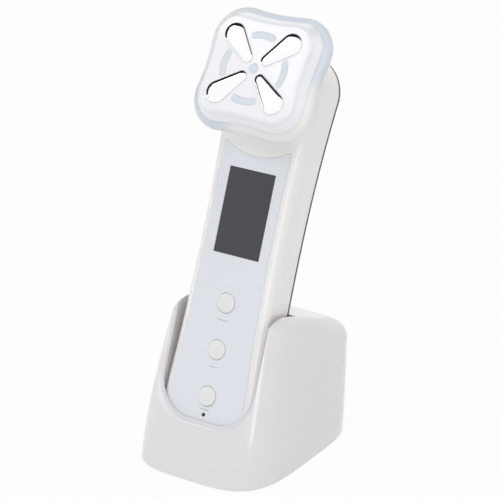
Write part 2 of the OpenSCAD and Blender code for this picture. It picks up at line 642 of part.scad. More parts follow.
module front_casing() color("whitesmoke") in_handset() difference() {
    union() {
        casing_form(0, 0, casing_d);
        loft(neck_rings(0, neck_q));
    }
    difference() {
        union() {
            casing_form(casing_wall, front_wall, casing_d + 1);
            loft(neck_rings(casing_wall, neck_q + flange_t));
        }
        each_case_screw() peg(case_post_r, front_wall - 0.8, board_y);
    }
    sheet(-1, panel_t + 0.05) panel_shape(fit_gap);
    sheet(-1, front_wall + 1) window_shape(-window_lip);
    for (s = button_heights) peg(button_d / 2 + button_gap, -1, front_wall + 1, 0, s);
    peg(indicator_d / 2 + indicator_gap, -1, front_wall + 1, 0, indicator_s);
    each_case_screw() peg(screw_d / 2 + 0.05, front_wall - 0.4, board_y + 1);
    both_sides() translate([contact_x, contact_y, 0]) rod(contact_d / 2 + fit_gap, -1, casing_wall + 2);
    in_head() {
        peg(harness_hole_r, neck_q - 1, neck_q + flange_t + 1);
        for (z = [-corner_y, corner_y]) both_sides()
            peg(head_screw_r + 0.35, neck_q - 1, neck_q + flange_t + 1, corner_x, z);
    }
}

cover_in = plate_t + fit_gap;
cover_top = casing_d + plate_rim - cover_in - cover_t;
module rear_cover() color("lightgray") in_handset() difference() {
    union() {
        difference() {
            union() {
                loft(crown_rings(cover_in, casing_d));
                loft([level(casing_wall + 0.15, casing_d + 0.1, depth_taper),
                    level(casing_wall + 0.15, casing_d - 1.2, depth_taper)]);
            }
            loft([level(crown_steps[0][0], cover_top + plate_crown, depth_taper),
                level(crown_steps[2][0], cover_top + 0.6 * plate_crown, depth_taper),
                level(casing_wall + 1.7, cover_top, depth_taper),
                level(casing_wall + 1.7, casing_d - 3, depth_taper)]);
        }
        for (p = [low_screw, high_screw]) both_sides()
            peg(cover_post_r, board_back, casing_back(p[1]) + plate_rim - cover_in + cover_post_rise,
                p[0], p[1]);
    }
    for (p = [low_screw, high_screw]) both_sides() {
        peg(screw_d / 2 + 0.1, board_back - 1, casing_d + 6, p[0], p[1]);
        peg(screw_d + 0.05, screw_seat(p), casing_d + 6, p[0], p[1]);
    }
}

module back_plate() color("silver") in_handset() difference() {
    loft(crown_rings(0, casing_d + 0.05));
    loft(crown_rings(plate_t, casing_d - 1));
}

module casing_screws() color("silver") in_handset() for (p = [low_screw, high_screw]) both_sides()
    translate([p[0], screw_seat(p), p[1]]) rotate([90, 0, 0])
        screw(screw_d / 2, screw_seat(p) - front_wall - 0.6, screw_d - 0.1, 1.4);

module front_panel() color("aliceblue") in_handset() difference() {
    sheet(0, panel_t) panel_shape(0);
    sheet(-1, panel_t + 1) window_shape(fit_gap / 2);
    for (s = button_heights) peg(button_d / 2 + button_gap, -1, panel_t + 1, 0, s);
    peg(indicator_d / 2 + indicator_gap, -1, panel_t + 1, 0, indicator_s);
}

module display_window() color("dimgray") in_handset() sheet(0, panel_t) window_shape(0);

module display_module() color("slategray") in_handset()
    slab(window_w + 5, window_h + 5, front_wall + 0.05, front_wall + 0.05 + lcd_t, window_s - 2.5);

module indicator_lens() color("black") in_handset() {
    peg(indicator_d / 2, 0.02, front_wall, 0, indicator_s);
    peg(indicator_d / 2 + 0.6, front_wall, front_wall + 0.6, 0, indicator_s);
    peg(indicator_d / 2, front_wall + 0.6, board_y - 0.75, 0, indicator_s);
}

module main_board() color("darkgreen") in_handset() difference() {
    slab(board_w, board_s[1] - board_s[0], board_y, board_back, board_s[0]);
    each_case_screw() peg(screw_d / 2 + 0.1, board_y - 1, board_back + 1);
}

head_plug_s = 118;
battery_s = 24;
cell_plug_s = battery_s + battery_l + 3;
// The transformer: its place, flanges and winding.
boost_s = 80;
boost_x = -4;
boost_w = 13;
boost_t = 4.4;
boost_flange = 3;
boost_coil_w = 9;
boost_coil_l = 10;
boost_coil_t = 4;
// Parts of the main board: width, length and height, or radius and height.
head_plug = [10, 5, 3.2];
cell_plug = [7, 4, 2.8];
main_chip = [10, 10, 1.2];
main_chip_s = 103;
side_chip = [5, 4, 1];
side_chip_x = -8;
crystal = [4, 2, 1];
crystal_s = 110.5;
reservoir = [1.6, 4];
reservoir_x = 9;
small_led = [1.6, 0.8, 0.7];
module on_main_board(part, s, x = 0) slab(part[0], part[1], board_back, board_back + part[2], s, x);
module board_parts() in_handset() {
    color("ivory") on_main_board(head_plug, head_plug_s);
    color("ivory") on_main_board(cell_plug, cell_plug_s);
    color("black") on_main_board(main_chip, main_chip_s, main_chip[0] / 2);
    color("black") on_main_board(side_chip, main_chip_s + 1, side_chip_x);
    color("silver") on_main_board(crystal, crystal_s, side_chip_x);
    color("sienna") for (i = [0:2]) peg(reservoir[0], board_back, board_back + reservoir[1], reservoir_x,
        boost_s + boost_flange + i * boost_coil_l / 2);
    color("white") slab(small_led[0], small_led[1], board_y - small_led[2], board_y,
        indicator_s - small_led[1] / 2);
}

module boost_transformer() in_handset() {
    color("dimgray") for (s = [boost_s, boost_s + boost_flange + boost_coil_l])
        on_main_board([boost_w, boost_flange, boost_t], s, boost_x);
    color("goldenrod") on_main_board([boost_coil_w, boost_coil_l, boost_coil_t], boost_s + boost_flange,
        boost_x);
}

switch_w = 6;
module switch_bodies() color("black") in_handset() for (s = button_heights) difference() {
    slab(switch_w, switch_w, switch_y, board_y, s - switch_w / 2);
    peg(plunger_d / 2 + 0.05, switch_y - 1, board_y - 0.3, 0, s);
}

module battery() color("steelblue") in_handset()
    slab(battery_w, battery_l, board_back + 0.1, board_back + 0.1 + battery_t, battery_s);

module battery_leads() color("firebrick") in_handset() both_sides() wire(lead(
    [2, board_back + 2.6, battery_s + battery_l], [0, 0, 2],
    [2, board_back + 1.6, cell_plug_s], [0, 0, 2], 4), 1, 6);

module charge_contacts() color("gold") in_handset() both_sides() translate([contact_x, contact_y, 0]) {
    rod(contact_d / 2, contact_seat, casing_wall + 0.6);
    rod(0.6, casing_wall + 0.6, board_s[0]);
}

module button(s) color("white") in_handset() {
    peg(button_d / 2 - 0.4, -button_rise, -button_rise + 0.4, 0, s);
    peg(button_d / 2, -button_rise + 0.4, flange_y, 0, s);
    peg(flange_r, flange_y, stem_y, 0, s);
    peg(1.5, stem_y, plunger_y, 0, s);
}

module plunger(s) color("dimgray") in_handset()
    peg(plunger_d / 2, plunger_y, board_y - 0.4 - button_travel, 0, s);

// --- head -------------------------------------------------------------------------------------

face_corner_r = cap_r - cap_draft;
lamp_y = cap_wall + 1.2;
led_h = 0.85;
led_board_y = lamp_y + 0.05 + led_h;
led_board_back = led_board_y + board_t;
nut_y = led_board_back + 0.05;
stud_y = nut_y + 2;
stud_r = 1;
boss_r = 2.9;
module each_corner() for (z = [0, 1]) mirror([0, 0, z]) both_sides()
    translate([corner_x, 0, corner_y]) children();
module each_stud() each_pad() translate([stud_at[0], 0, stud_at[1]]) children();
// The front view of a light arc, grown by g.
module arc_shape(g) {
    r = arc_w / 2 + g;
    ends = [for (a = [-1, 1]) 90 + a * arc_half];
    polygon(concat([for (i = [0:8]) let(a = mix(ends[0], ends[1], i / 8)) (arc_r + r) * [cos(a), sin(a)]],
        [for (i = [8:-1:0]) let(a = mix(ends[0], ends[1], i / 8)) (arc_r - r) * [cos(a), sin(a)]]));
    for (a = ends) translate(arc_r * [cos(a), sin(a)]) circle(r, $fn = 24);
}
module light_shape(g) {
    for (a = [0:90:270]) rotate([0, 0, a]) arc_shape(g);
    circle(dot_d / 2 + g);
}

module head_cap() color("white") in_handset() in_head() difference() {
    union() {
        loft(concat([head_level(cap_r, cap_d), head_level(cap_r, cap_d - 0.6)], [for (a = [0:18:90])
            head_level(face_corner_r - face_r * (1 - cos(a)), face_r * (1 - sin(a)))]));
        each_corner() peg(boss_r, cap_d - 1, neck_q);
    }
    difference() {
        loft([head_level(cap_r - cap_wall, cap_d + 1), head_level(cap_r - cap_wall, cap_d - 0.6),
            head_level(face_corner_r - cap_wall, cap_wall)]);
        each_corner() peg(boss_r, 0, neck_q + 1);
    }
    each_pad() loft([drop_level(-0.06, pad_seat + 0.02), drop_level(-0.06, -1)]);
    each_stud() peg(stud_r + 0.1, -1, cap_wall + 1);
    sheet(-1, cap_wall + 1) light_shape(0.05);
    each_corner() peg(head_screw_r + 0.05, cap_wall + 0.6, neck_q + 1);
}

module glow_ring() color("lightsteelblue") in_handset() in_head() difference() {
    loft([head_level(ring_r - 2, neck_q), head_level(ring_r - 1, neck_q - 0.4),
        head_level(ring_r - 0.25, neck_q - 1.3), head_level(ring_r, neck_q - 2.4),
        head_level(ring_r - 0.1, cap_d + 1.9), head_level(ring_r - 0.6, cap_d + 0.95),
        head_level(ring_r - 1.5, cap_d + 0.3), head_level(ring_r - 2.7, cap_d)]);
    loft([head_level(cap_r - 4, neck_q + 1), head_level(cap_r - 4, cap_d - 1)]);
}

module head_screws() color("silver") in_handset() in_head() each_corner()
    translate([0, neck_q + flange_t, 0]) rotate([90, 0, 0])
        screw(head_screw_r, neck_q + flange_t - 3.4, 1.9, 1.4);

module light_diffuser() color("lightsteelblue") in_handset() in_head() difference() {
    union() {
        sheet(cap_wall, lamp_y) circle(arc_r + arc_w / 2 + 0.7, $fn = 72);
        sheet(0.02, cap_wall) light_shape(0);
    }
    each_corner() peg(boss_r + 0.2, cap_wall - 1, lamp_y + 1);
    each_stud() peg(stud_r + 0.2, cap_wall - 1, lamp_y + 1);
}

module led_board() color("white") in_handset() in_head() difference() {
    sheet(led_board_y, led_board_back) circle(arc_r + arc_w / 2 + 1.5, $fn = 72);
    each_corner() peg(boss_r + 0.2, led_board_y - 1, led_board_back + 1);
    each_stud() peg(stud_r + 0.1, led_board_y - 1, led_board_back + 1);
}

module leds() in_handset() in_head() {
    color("khaki") for (a = [0:90:270]) rotate([0, a, 0]) for (x = [-3.2, 3.2])
        slab(2.8, 1.8, led_board_y - led_h, led_board_y, arc_r - 0.9, x);
    color("khaki") slab(2.8, 1.8, led_board_y - led_h, led_board_y, -0.9);
    color("ivory") slab(8, 4, led_board_back, led_board_back + 2.6, -2);
}

module electrode(sx, sz) color("silver") in_handset() in_head() mirror([sx, 0, 0]) mirror([0, 0, sz]) {
    loft([drop_level(0, pad_seat), drop_level(0, -pad_rise * 0.35), drop_level(0.3, -pad_rise * 0.7),
        drop_level(0.9, -pad_rise * 0.92), drop_level(1.7, -pad_rise)]);
    peg(stud_r, pad_seat, stud_y, stud_at[0], stud_at[1]);
}

module electrode_nuts() color("silver") in_handset() in_head() each_stud() difference() {
    rotate([-90, 0, 0]) translate([0, 0, nut_y]) cylinder(r = 2.1, h = 1.5, $fn = 6);
    peg(stud_r + 0.02, nut_y - 1, nut_y + 3);
}

harness_d = 2.6;
module head_harness() color("dimgray") in_handset() {
    plug = head_point(led_board_back + 2.6, 0);
    aim = head_point(led_board_back + 20, 0) - plug;
    wire(lead([0, plug[0], plug[1]], [0, aim[0], aim[1]],
        [0, board_back + 1.8, head_plug_s + 5], [0, 0, -20], 12), harness_d);
    in_head() each_pad() wire(lead([stud_at[0], stud_y, stud_at[1]], [0, 4, 0],
        [0.5, neck_q - 1.4, 0.5], [-6, 2, -5], 5), 0.9, 6);
}

cradle_shell();
base_plate();
anti_slip_pad();
base_screws();
charging_board();
charging_board_parts();
board_screws();
power_inlet();
contact_block();
pin_barrels();
pin_springs();
contact_leads();
spring_pin(-1);  // left_spring_pin
spring_pin(1);  // right_spring_pin
front_casing();
rear_cover();
back_plate();
casing_screws();
front_panel();
display_window();
display_module();
indicator_lens();
main_board();
board_parts();
boost_transformer();
switch_bodies();
battery();
battery_leads();
charge_contacts();
button(button_heights[0]);  // mode_button
button(button_heights[1]);  // level_button
button(button_heights[2]);  // power_button
plunger(button_heights[0]);  // mode_plunger
plunger(button_heights[1]);  // level_plunger
plunger(button_heights[2]);  // power_plunger
head_cap();
glow_ring();
head_screws();
light_diffuser();
led_board();
leds();
electrode(1, 0);  // upper_left_electrode
electrode(0, 0);  // upper_right_electrode
electrode(1, 1);  // lower_left_electrode
electrode(0, 1);  // lower_right_electrode
electrode_nuts();
head_harness();
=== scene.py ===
"""Looks of a facial toning handset that stands in its charging cradle."""

import json
import math
from types import SimpleNamespace

import bmesh
import bpy
from bpy.props import FloatProperty, FloatVectorProperty, PointerProperty
from mathutils import Matrix, Vector


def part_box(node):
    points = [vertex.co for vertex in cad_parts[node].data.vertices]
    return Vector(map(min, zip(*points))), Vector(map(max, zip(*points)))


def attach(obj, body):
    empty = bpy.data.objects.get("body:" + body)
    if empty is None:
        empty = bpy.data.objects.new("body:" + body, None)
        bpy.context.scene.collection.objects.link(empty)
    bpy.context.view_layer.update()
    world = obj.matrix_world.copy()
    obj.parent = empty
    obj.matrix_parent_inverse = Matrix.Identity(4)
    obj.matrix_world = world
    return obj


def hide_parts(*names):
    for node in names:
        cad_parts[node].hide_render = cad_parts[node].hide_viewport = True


bl_info = {
    "name": "Facial toning handset",
    "version": (1, 0, 0),
    "blender": (4, 5, 0),
    "location": "3D View > Sidebar > Toning",
    "description": "Shells, electrodes, finishes and studio of a toning handset in its cradle",
    "category": "Object",
}

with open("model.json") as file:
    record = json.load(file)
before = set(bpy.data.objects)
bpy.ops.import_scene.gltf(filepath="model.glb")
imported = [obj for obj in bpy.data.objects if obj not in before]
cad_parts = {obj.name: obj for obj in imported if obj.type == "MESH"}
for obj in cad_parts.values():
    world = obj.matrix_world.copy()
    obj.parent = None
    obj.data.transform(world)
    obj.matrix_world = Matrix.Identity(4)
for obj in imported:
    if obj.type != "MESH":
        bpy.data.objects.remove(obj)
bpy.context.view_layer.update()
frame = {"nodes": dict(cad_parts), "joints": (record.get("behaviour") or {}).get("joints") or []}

MM = 0.001
WORLD = Matrix.Identity(4)
LIFT = next(j for j in frame["joints"] if j["name"] == "handset_lift")["axis"]
LEAN = math.atan2(LIFT[1], LIFT[2])
DOCK = Vector((0, -32, 16.6)) * MM
HANDSET = Matrix.Translation(DOCK) @ Matrix.Rotation(-LEAN, 4, "X")

# Places in millimetres, in the handset's frame and for the cradle's screws in the world's.
BUTTON_HEIGHTS = (56.7, 37.0, 17.3)
INDICATOR_Z = 9.5
CASING_SCREWS = ((11, 10), (12.5, 121))
CONTACT_X, CONTACT_Y = 5, 7.6
CRADLE_SCREWS = [(x, y) for x in (-27, 27) for y in (-12, 24)]

# The head's four corners, as signs across and up.
CORNERS = [(x, z) for x in (-1, 1) for z in (-1, 1)]

# Round posts and holes, in millimetres: a radius, or a radius with where the bar starts and ends.
CASING_POST, CASING_BORE, CONTACT_BORE = (2.4, 2, 7), (1.05, 2.4, 8), (1.8, -1, 3.8)
CRADLE_POST, CRADLE_BORE = (3.2, 3, 15), (1.05, 0, 11.5)
INDICATOR_R, HARNESS_R, HEAD_SCREW_R = 0.85, 6, 1.15
CAP_POST_R, CAP_BORE_R, STUD_R, STUD_HOLE_R = 2.9, 0.85, 1, 1.1

# Other openings and gaps, in millimetres, and half the angle of a light arc.
PIN_SLOT = (-9.1, 9.1), (3.2, 12), (-5.1, 0.9)
INLET_X, INLET_Y, INLET_HALF = (-4.8, 4.8), (36.2, 43.2), 1.9
BUTTON_GAP, WINDOW_GAP, WINDOW_LEDGE, SEAT_GAP, LIGHT_GAP = 0.15, 0.05, 0.6, 0.06, 0.05
LIGHT_HALF_ANGLE = 18.6

# The camera's place and the direction behind it, and what the lamps are turned to, in metres.
CAMERA = (0.4979, -0.7600, 0.4747)
CAMERA_BACK = (0.5013, -0.7720, 0.3907)
TARGET = Vector((0, -0.005, 0.09))


# --- sizes and colours ------------------------------------------------------------------------


def length(name, description, millimetres):
    return FloatProperty(
        name=name, description=description, default=millimetres * MM,
        min=0, unit="LENGTH", precision=5,
    )


def tint(name, description, red, green, blue):
    """A colour property, from the eight-bit values that the finish shows under white light."""
    return FloatVectorProperty(
        name=name, description=description, default=linear(red, green, blue),
        subtype="COLOR", size=3, min=0, max=1,
    )


def power_of(name, description, watts):
    return FloatProperty(name=name, description=description, default=watts, min=0, unit="POWER")


def linear(*channels):
    return tuple(
        c / 255 / 12.92 if c / 255 <= 0.04045 else ((c / 255 + 0.055) / 1.055) ** 2.4
        for c in channels
    )


class TONING_PG_handle(bpy.types.PropertyGroup):
    foot_w: length("Foot width", "Width of the handle at its foot", 43)
    waist_w: length("Waist width", "Width of the handle at its waist", 39.2)
    neck_w: length("Neck width", "Width of the handle behind the head", 44)
    foot_r: length("Foot corners", "Corner radius of the foot", 14)
    crown_r: length("Crown corners", "Corner radius of the head end", 16)
    handle_len: length("Length", "Length of the handle with its head end", 163)
    casing_d: length("Casing depth", "Depth of the casing at the waist", 17)
    edge_r: length("Edge rounding", "Rounding of the casing's front edge", 4)
    casing_wall: length("Casing wall", "Wall of the casing", 1.8)
    front_wall: length("Front wall", "Depth of the front wall to its inside", 2.8)
    plate_rim: length("Plate rim", "Height of the back plate's rim", 1.5)
    plate_crown: length("Plate crown", "Crown of the back plate above its rim", 1.8)
    plate_t: length("Plate sheet", "Sheet thickness of the back plate", 0.8)
    panel_inset: length("Panel inset", "Casing left bare around the panel", 4)
    panel_t: length("Panel thickness", "Thickness of the front panel", 1.2)
    panel_top: length("Panel top", "Height of the middle of the panel's hollow top", 118)
    panel_arc_r: length("Panel hollow", "Radius of the panel's hollow top", 27.5)
    panel_corner_r: length("Panel corners", "Rounding of the panel's upper corners", 1.2)
    window_w: length("Window width", "Width of the display window", 22)
    window_h: length("Window height", "Height of the display window", 35.9)
    window_s: length("Window place", "Height of the window's lower edge", 76.4)
    button_d: length("Button diameter", "Diameter of a button", 8.3)
    button_rise: length("Button rise", "How far a button stands out", 0.7)


class TONING_PG_head(bpy.types.PropertyGroup):
    head_tilt: FloatProperty(
        name="Tilt",
        description="Lean of the head, measured from the handle",
        default=math.radians(12.5),
        unit="ROTATION",
    )
    head_reach: length("Reach", "Distance of the face in front of the handle", 15.8)
    head_s: length("Height", "Height of the face's middle above the foot", 153.3)
    corner_x: length("Corners across", "Corner centres, across", 13.4)
    corner_y: length("Corners up", "Corner centres, up and down", 12)
    side_bow: length("Side bow", "How far the sides bow in", 0.8)
    cap_r: length("Cap corners", "Corner radius of the cap at the ring", 11.5)
    cap_d: length("Cap depth", "Depth of the cap", 5.6)
    cap_draft: length("Cap draft", "How much the cap narrows to its face", 2.1)
    face_r: length("Face edge", "Rounding of the face's edge", 1.8)
    cap_wall: length("Cap wall", "Wall of the cap", 2)
    ring_r: length("Ring corners", "Corner radius of the glow ring", 14.5)
    ring_t: length("Ring thickness", "Thickness of the glow ring", 5.3)
    flange_t: length("Flange", "Thickness of the neck's front flange", 1.5)
    pad_x: length("Pad across", "Distance of an electrode's outer end, across", 13.4)
    pad_y: length("Pad up", "Distance of an electrode's outer end, up", 12.5)
    pad_r: length("Pad end", "Radius of an electrode's outer end", 4.7)
    pad_tip_r: length("Pad tip", "Radius of an electrode's inner end", 2.35)
    pad_tip_at: length("Pad tip place", "Distance of the inner end from the middle", 5.95)
    pad_seat: length("Pad seat", "How far an electrode is let into the cap", 1.2)
    pad_rise: length("Pad rise", "How far an electrode stands out", 1.1)
    arc_r: length("Arc radius", "Middle radius of the light arcs", 14.1)
    arc_w: length("Arc width", "Width of the light arcs", 2.8)
    dot_d: length("Middle light", "Diameter of the light in the middle", 4.1)


class TONING_PG_cradle(bpy.types.PropertyGroup):
    cradle_w: length("Width", "Greatest width of the cradle", 66.8)
    cradle_d: length("Depth", "Depth of the cradle", 83)
    cradle_top: length("Top", "Height of the top along the handset", 56.5)
    cradle_wall: length("Wall", "Wall of the cradle", 2.2)
    side_draft: FloatProperty(
        name="Side draft",
        description="Draft of the sides",
        default=math.radians(3.2),
        unit="ROTATION",
    )
    rim_t: length("Rim", "Thickness of the rim before the handset", 3.6)
    rim_s: length("Rim low point", "Height of the rim's lowest point", 6.8)
    notch_r: length("Notch corners", "Corner radius of the rim's notch", 16)
    notch_gap: length("Notch gap", "Gap between the handset and the notch's sides", 0.6)
    rim_r: length("Rim rounding", "Rounding of the rim", 2.8)
    shoulder_r: length("Front shoulders", "Rounding of the front shoulders", 10)
    top_r: length("Top edges", "Rounding of the back and side edges", 8)
    pocket_gap: length("Pocket gap", "Gap between handset and pocket", 0.3)
    pocket_wall: length("Pocket wall", "Wall of the pocket", 1.8)


class TONING_PG_finish(bpy.types.PropertyGroup):
    casing: tint("Casing", "Moulding of the handset", 243, 241, 240)
    cradle: tint("Cradle", "Moulding of the cradle", 230, 228, 230)
    cap: tint("Cap", "Moulding of the head's cap", 243, 243, 247)
    ring: tint("Glow ring", "Frosted ring round the head", 216, 223, 231)
    lights: tint("Lights", "Light arcs and middle light", 219, 226, 234)
    panel: tint("Panel", "Front panel", 230, 234, 240)
    window: tint("Window", "Smoked display window", 44, 43, 51)
    button: tint("Buttons", "Press buttons", 237, 236, 236)
    steel: tint("Steel", "Plates and electrodes", 253, 253, 254)


class TONING_PG_studio(bpy.types.PropertyGroup):
    key: power_of("Key light", "Power of the large light before the object", 5.2)
    front: power_of("Front light", "Power of the low light before the object", 4.7)
    left: power_of("Left light", "Power of the light at the left", 6.3)
    right: power_of("Right light", "Power of the light at the right", 3.9)
    top: power_of("Top light", "Power of the light above", 8.0)
    back: power_of("Back light", "Power of the light behind the object", 3.5)
    world: FloatProperty(
        name="Surroundings", description="Strength of the even light", default=0.24, min=0
    )
    gleam: FloatProperty(
        name="Gleams",
        description="Share of the narrow lights that only gloss shows",
        default=1,
        min=0,
    )


GROUPS = {
    "toning_handle": TONING_PG_handle,
    "toning_head": TONING_PG_head,
    "toning_cradle": TONING_PG_cradle,
    "toning_finish": TONING_PG_finish,
    "toning_studio": TONING_PG_studio,
}


def sizes(*groups):
    """The groups' sizes together: lengths in millimetres, angles in radians."""
    found = SimpleNamespace()
    for group in groups:
        for prop in group.bl_rna.properties:
            if prop.type == "FLOAT":
                value = getattr(group, prop.identifier)
                setattr(found, prop.identifier, value / MM if prop.unit == "LENGTH" else value)
    return found


# --- modelling --------------------------------------------------------------------------------


def use(obj):
    """Makes obj the only selected and the active object."""
    if bpy.context.mode != "OBJECT":
        bpy.ops.object.mode_set(mode="OBJECT")
    bpy.ops.object.select_all(action="DESELECT")
    obj.select_set(True)
    bpy.context.view_layer.objects.active = obj
    return obj


def edit(obj, action="SELECT"):
    """Enters edit mode on obj, with all of its mesh selected or none of it."""
    use(obj)
    bpy.ops.object.mode_set(mode="EDIT")
    bpy.ops.mesh.select_all(action=action)
    return bmesh.from_edit_mesh(obj.data)


def leave():
    bpy.ops.object.mode_set(mode="OBJECT")


def face_outwards():
    """Turns every face of the mesh in edit mode outwards and leaves edit mode."""
    bpy.ops.mesh.select_all(action="SELECT")
    bpy.ops.mesh.normals_make_consistent(inside=False)
    leave()


def named(name):
    """The active object, which was just added, under its name."""
    obj = bpy.context.active_object
    obj.name = obj.data.name = name
    return use(obj)


def primitive(add, name, **settings):
    """The primitive that one of Blender's operators adds, alone and under its name."""
    bpy.ops.object.select_all(action="DESELECT")
    add(**settings)
    return named(name)


def apply(obj, kind, **settings):
    """Adds a modifier with its settings and applies it."""
    use(obj)
    modifier = obj.modifiers.new(kind.title(), kind)
    for key, value in settings.items():
        setattr(modifier, key, value)
    bpy.ops.object.modifier_apply(modifier=modifier.name)


def settle(obj, matrix):
    """Moves obj by the matrix and keeps the place in its mesh."""
    use(obj)
    obj.matrix_world = matrix @ obj.matrix_world
    bpy.ops.object.transform_apply(location=True, rotation=True, scale=True)
    return obj


def copy_of(obj, name, matrix):
    """A copy of obj with a mesh of its own, moved by the matrix."""
    use(obj)
    bpy.ops.object.duplicate()
    return settle(named(name), matrix)


def loft(name, rings):
    """A closed skin through rings of equal length, extruded from one to the next."""
    add, count = bpy.ops.mesh.primitive_circle_add, len(rings[0])
    obj = primitive(add, name, vertices=count, radius=MM, fill_type="NGON")
    mesh = edit(obj)
    order = mesh.verts.layers.int.new("order")
    for i, v in enumerate(mesh.verts):
        v[order] = i
    for i, ring in enumerate(rings):
        if i:
            bpy.ops.mesh.extrude_region_move()
            mesh = bmesh.from_edit_mesh(obj.data)
            order = mesh.verts.layers.int["order"]
        for v in mesh.verts:
            if v.select:
                v.co = ring[v[order]]
        bmesh.update_edit_mesh(obj.data)
    mesh.verts.layers.int.remove(order)
    face_outwards()
    return obj


def combine(obj, operation, *tools):
    """Joins the tools to obj, or cuts them out of it, and removes them."""
    for tool in tools:
        apply(obj, "BOOLEAN", operation=operation, object=tool, solver="MANIFOLD")
        bpy.data.objects.remove(tool)
    if not obj.data.polygons:
        raise RuntimeError(f"nothing is left of {obj.name}")


def cut(obj, *tools):
    combine(obj, "DIFFERENCE", *tools)


def join(obj, *tools):
    combine(obj, "UNION", *tools)


def trim(obj, point, outwards):
    """Cuts away what lies beyond a plane and closes the cut."""
    edit(obj)
    bpy.ops.mesh.bisect(plane_co=point, plane_no=outwards, use_fill=True, clear_outer=True)
    leave()


def largest_part(obj):
    """The largest connected part of obj, without the slivers that cuts leave beside it."""
    name = obj.name
    edit(obj)
    bpy.ops.mesh.separate(type="LOOSE")
    leave()
    parts = sorted(bpy.context.selected_objects, key=lambda part: len(part.data.polygons))
    *slivers, kept = parts
    for sliver in slivers:
        bpy.data.objects.remove(sliver)
    kept.name = kept.data.name = name
    return kept


def bar(radius, run, middle, turn, matrix, vertices):
    """A round bar about its middle, in millimetres of a frame."""
    obj = primitive(
        bpy.ops.mesh.primitive_cylinder_add, "bar", vertices=vertices,
        radius=radius * MM, depth=run * MM,
        location=Vector(middle) * MM, rotation=(turn, 0, 0),
    )
    return settle(obj, matrix)


def peg(radius, y0, y1, x, z, matrix=HANDSET, vertices=24):
    """A round bar along the depth of a frame, in millimetres."""
    return bar(radius, y1 - y0, (x, (y0 + y1) / 2, z), math.pi / 2, matrix, vertices)


def post(radius, z0, z1, x, y, matrix=HANDSET):
    """A round bar up a frame, in millimetres."""
    return bar(radius, z1 - z0, (x, y, (z0 + z1) / 2), 0, matrix, 32)


def block(x, y, z, matrix=HANDSET, rounding=0, along=2, segments=8):
    """A block between the limits of x, y and z in millimetres, its edges along one axis rounded."""
    spans = (x, y, z)
    obj = primitive(bpy.ops.mesh.primitive_cube_add, "block", size=MM)
    middle = Vector([sum(s) / 2 for s in spans]) * MM
    size = Matrix.Diagonal([s[1] - s[0] for s in spans] + [1])
    settle(obj, Matrix.Translation(middle) @ size)
    if rounding:
        mesh = edit(obj, "DESELECT")
        for e in mesh.edges:
            run = (e.verts[1].co - e.verts[0].co).normalized()
            e.select_set(abs(run[along]) > 0.9)
        bmesh.update_edit_mesh(obj.data)
        bpy.ops.mesh.bevel(offset=rounding * MM, segments=segments)
        leave()
    return settle(obj, matrix)


def lathe(name, profile, steps=64):
    """A turned piece from a profile of radii and depths in millimetres, both ends on its axis."""
    obj = primitive(bpy.ops.mesh.primitive_plane_add, name, size=MM)
    edit(obj)
    bpy.ops.mesh.merge(type="CENTER")
    bpy.ops.transform.translate(value=Vector((*profile[0], 0)) * MM)
    for a, b in zip(profile, profile[1:]):
        step = Vector((b[0] - a[0], b[1] - a[1], 0)) * MM
        bpy.ops.mesh.extrude_vertices_move(TRANSFORM_OT_translate={"value": step})
    bpy.ops.mesh.select_all(action="SELECT")
    bpy.ops.mesh.spin(steps=steps, angle=math.tau, center=(0, 0, 0), axis=(0, 1, 0))
    bpy.ops.mesh.select_all(action="SELECT")
    bpy.ops.mesh.remove_doubles(threshold=1e-6)
    face_outwards()
    return obj


def smoothed(points, times=2):
    """An open run of points with its corners cut, its ends kept."""
    for _ in range(times):
        run = [points[0]]
        for a, b in zip(points, points[1:]):
            run += [
                tuple(mix(p, q, 0.25) for p, q in zip(a, b)),
                tuple(mix(p, q, 0.75) for p, q in zip(a, b)),
            ]
        points = run + [points[-1]]
    return points


def soften(obj, width):
    """Bevels the sharp edges of obj."""
    apply(
        obj, "BEVEL", width=width * MM, segments=2, limit_method="ANGLE",
        angle_limit=math.radians(60), harden_normals=False,
    )


def dress(obj, material, body, slot, *nodes, degrees=32):
    """Shades a finished piece, gives it its material and sets it in the frame."""
    use(obj)
    bpy.ops.object.shade_smooth_by_angle(angle=math.radians(degrees))
    apply(obj, "WEIGHTED_NORMAL", keep_sharp=True)
    obj.data.materials.clear()
    obj.data.materials.append(material)
    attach(obj, body)
    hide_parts(*nodes)


# --- forms of the handset -----------------------------------------------------------------------


def mix(a, b, t):
    return a + (b - a) * t


def power(v, e):
    return math.copysign(abs(v) ** e, v)


def sine(degrees):
    return math.sin(math.radians(degrees))


def cosine(degrees):
    return math.cos(math.radians(degrees))


def turned(y, z, angle):
    """A point of a plane, turned clockwise by an angle in radians."""
    sin, cos = math.sin(angle), math.cos(angle)
    return y * cos + z * sin, z * cos - y * sin


def arc(x, z, r, start, end, steps, closed=True):
    """Points about (x, z) from one angle to another, in degrees, with the last one if closed."""
    angles = [mix(start, end, i / steps) for i in range(steps + closed)]
    return [(x + r * cosine(a), z + r * sine(a)) for a in angles]


def between(a, b, count):
    """Evenly spaced points on the straight line between two others."""
    shares = [i / (count + 1) for i in range(1, count + 1)]
    return [tuple(mix(p, q, t) for p, q in zip(a, b)) for t in shares]


def mirror(half):
    """The left half of an outline, from the end of its right half back to the start."""
    return [(-x, z) for x, z in reversed(half)]


def oval(p0, p1, a, n0, n1, m, narrow=0.0):
    """A squared oval across the line from p0 to p1, of half width a, as (x, y, z) points."""
    ring = []
    for i in range(m):
        t = math.tau * i / m
        n = n0 if math.sin(t) < 0 else n1
        k = power(math.sin(t), 2 / n)
        x = a * power(math.cos(t), 2 / n) * (1 - narrow * min(k, 0) ** 2)
        y, z = (mix(low, high, (1 + k) / 2) for low, high in zip(p0, p1))
        ring.append((x, y, z))
    return ring


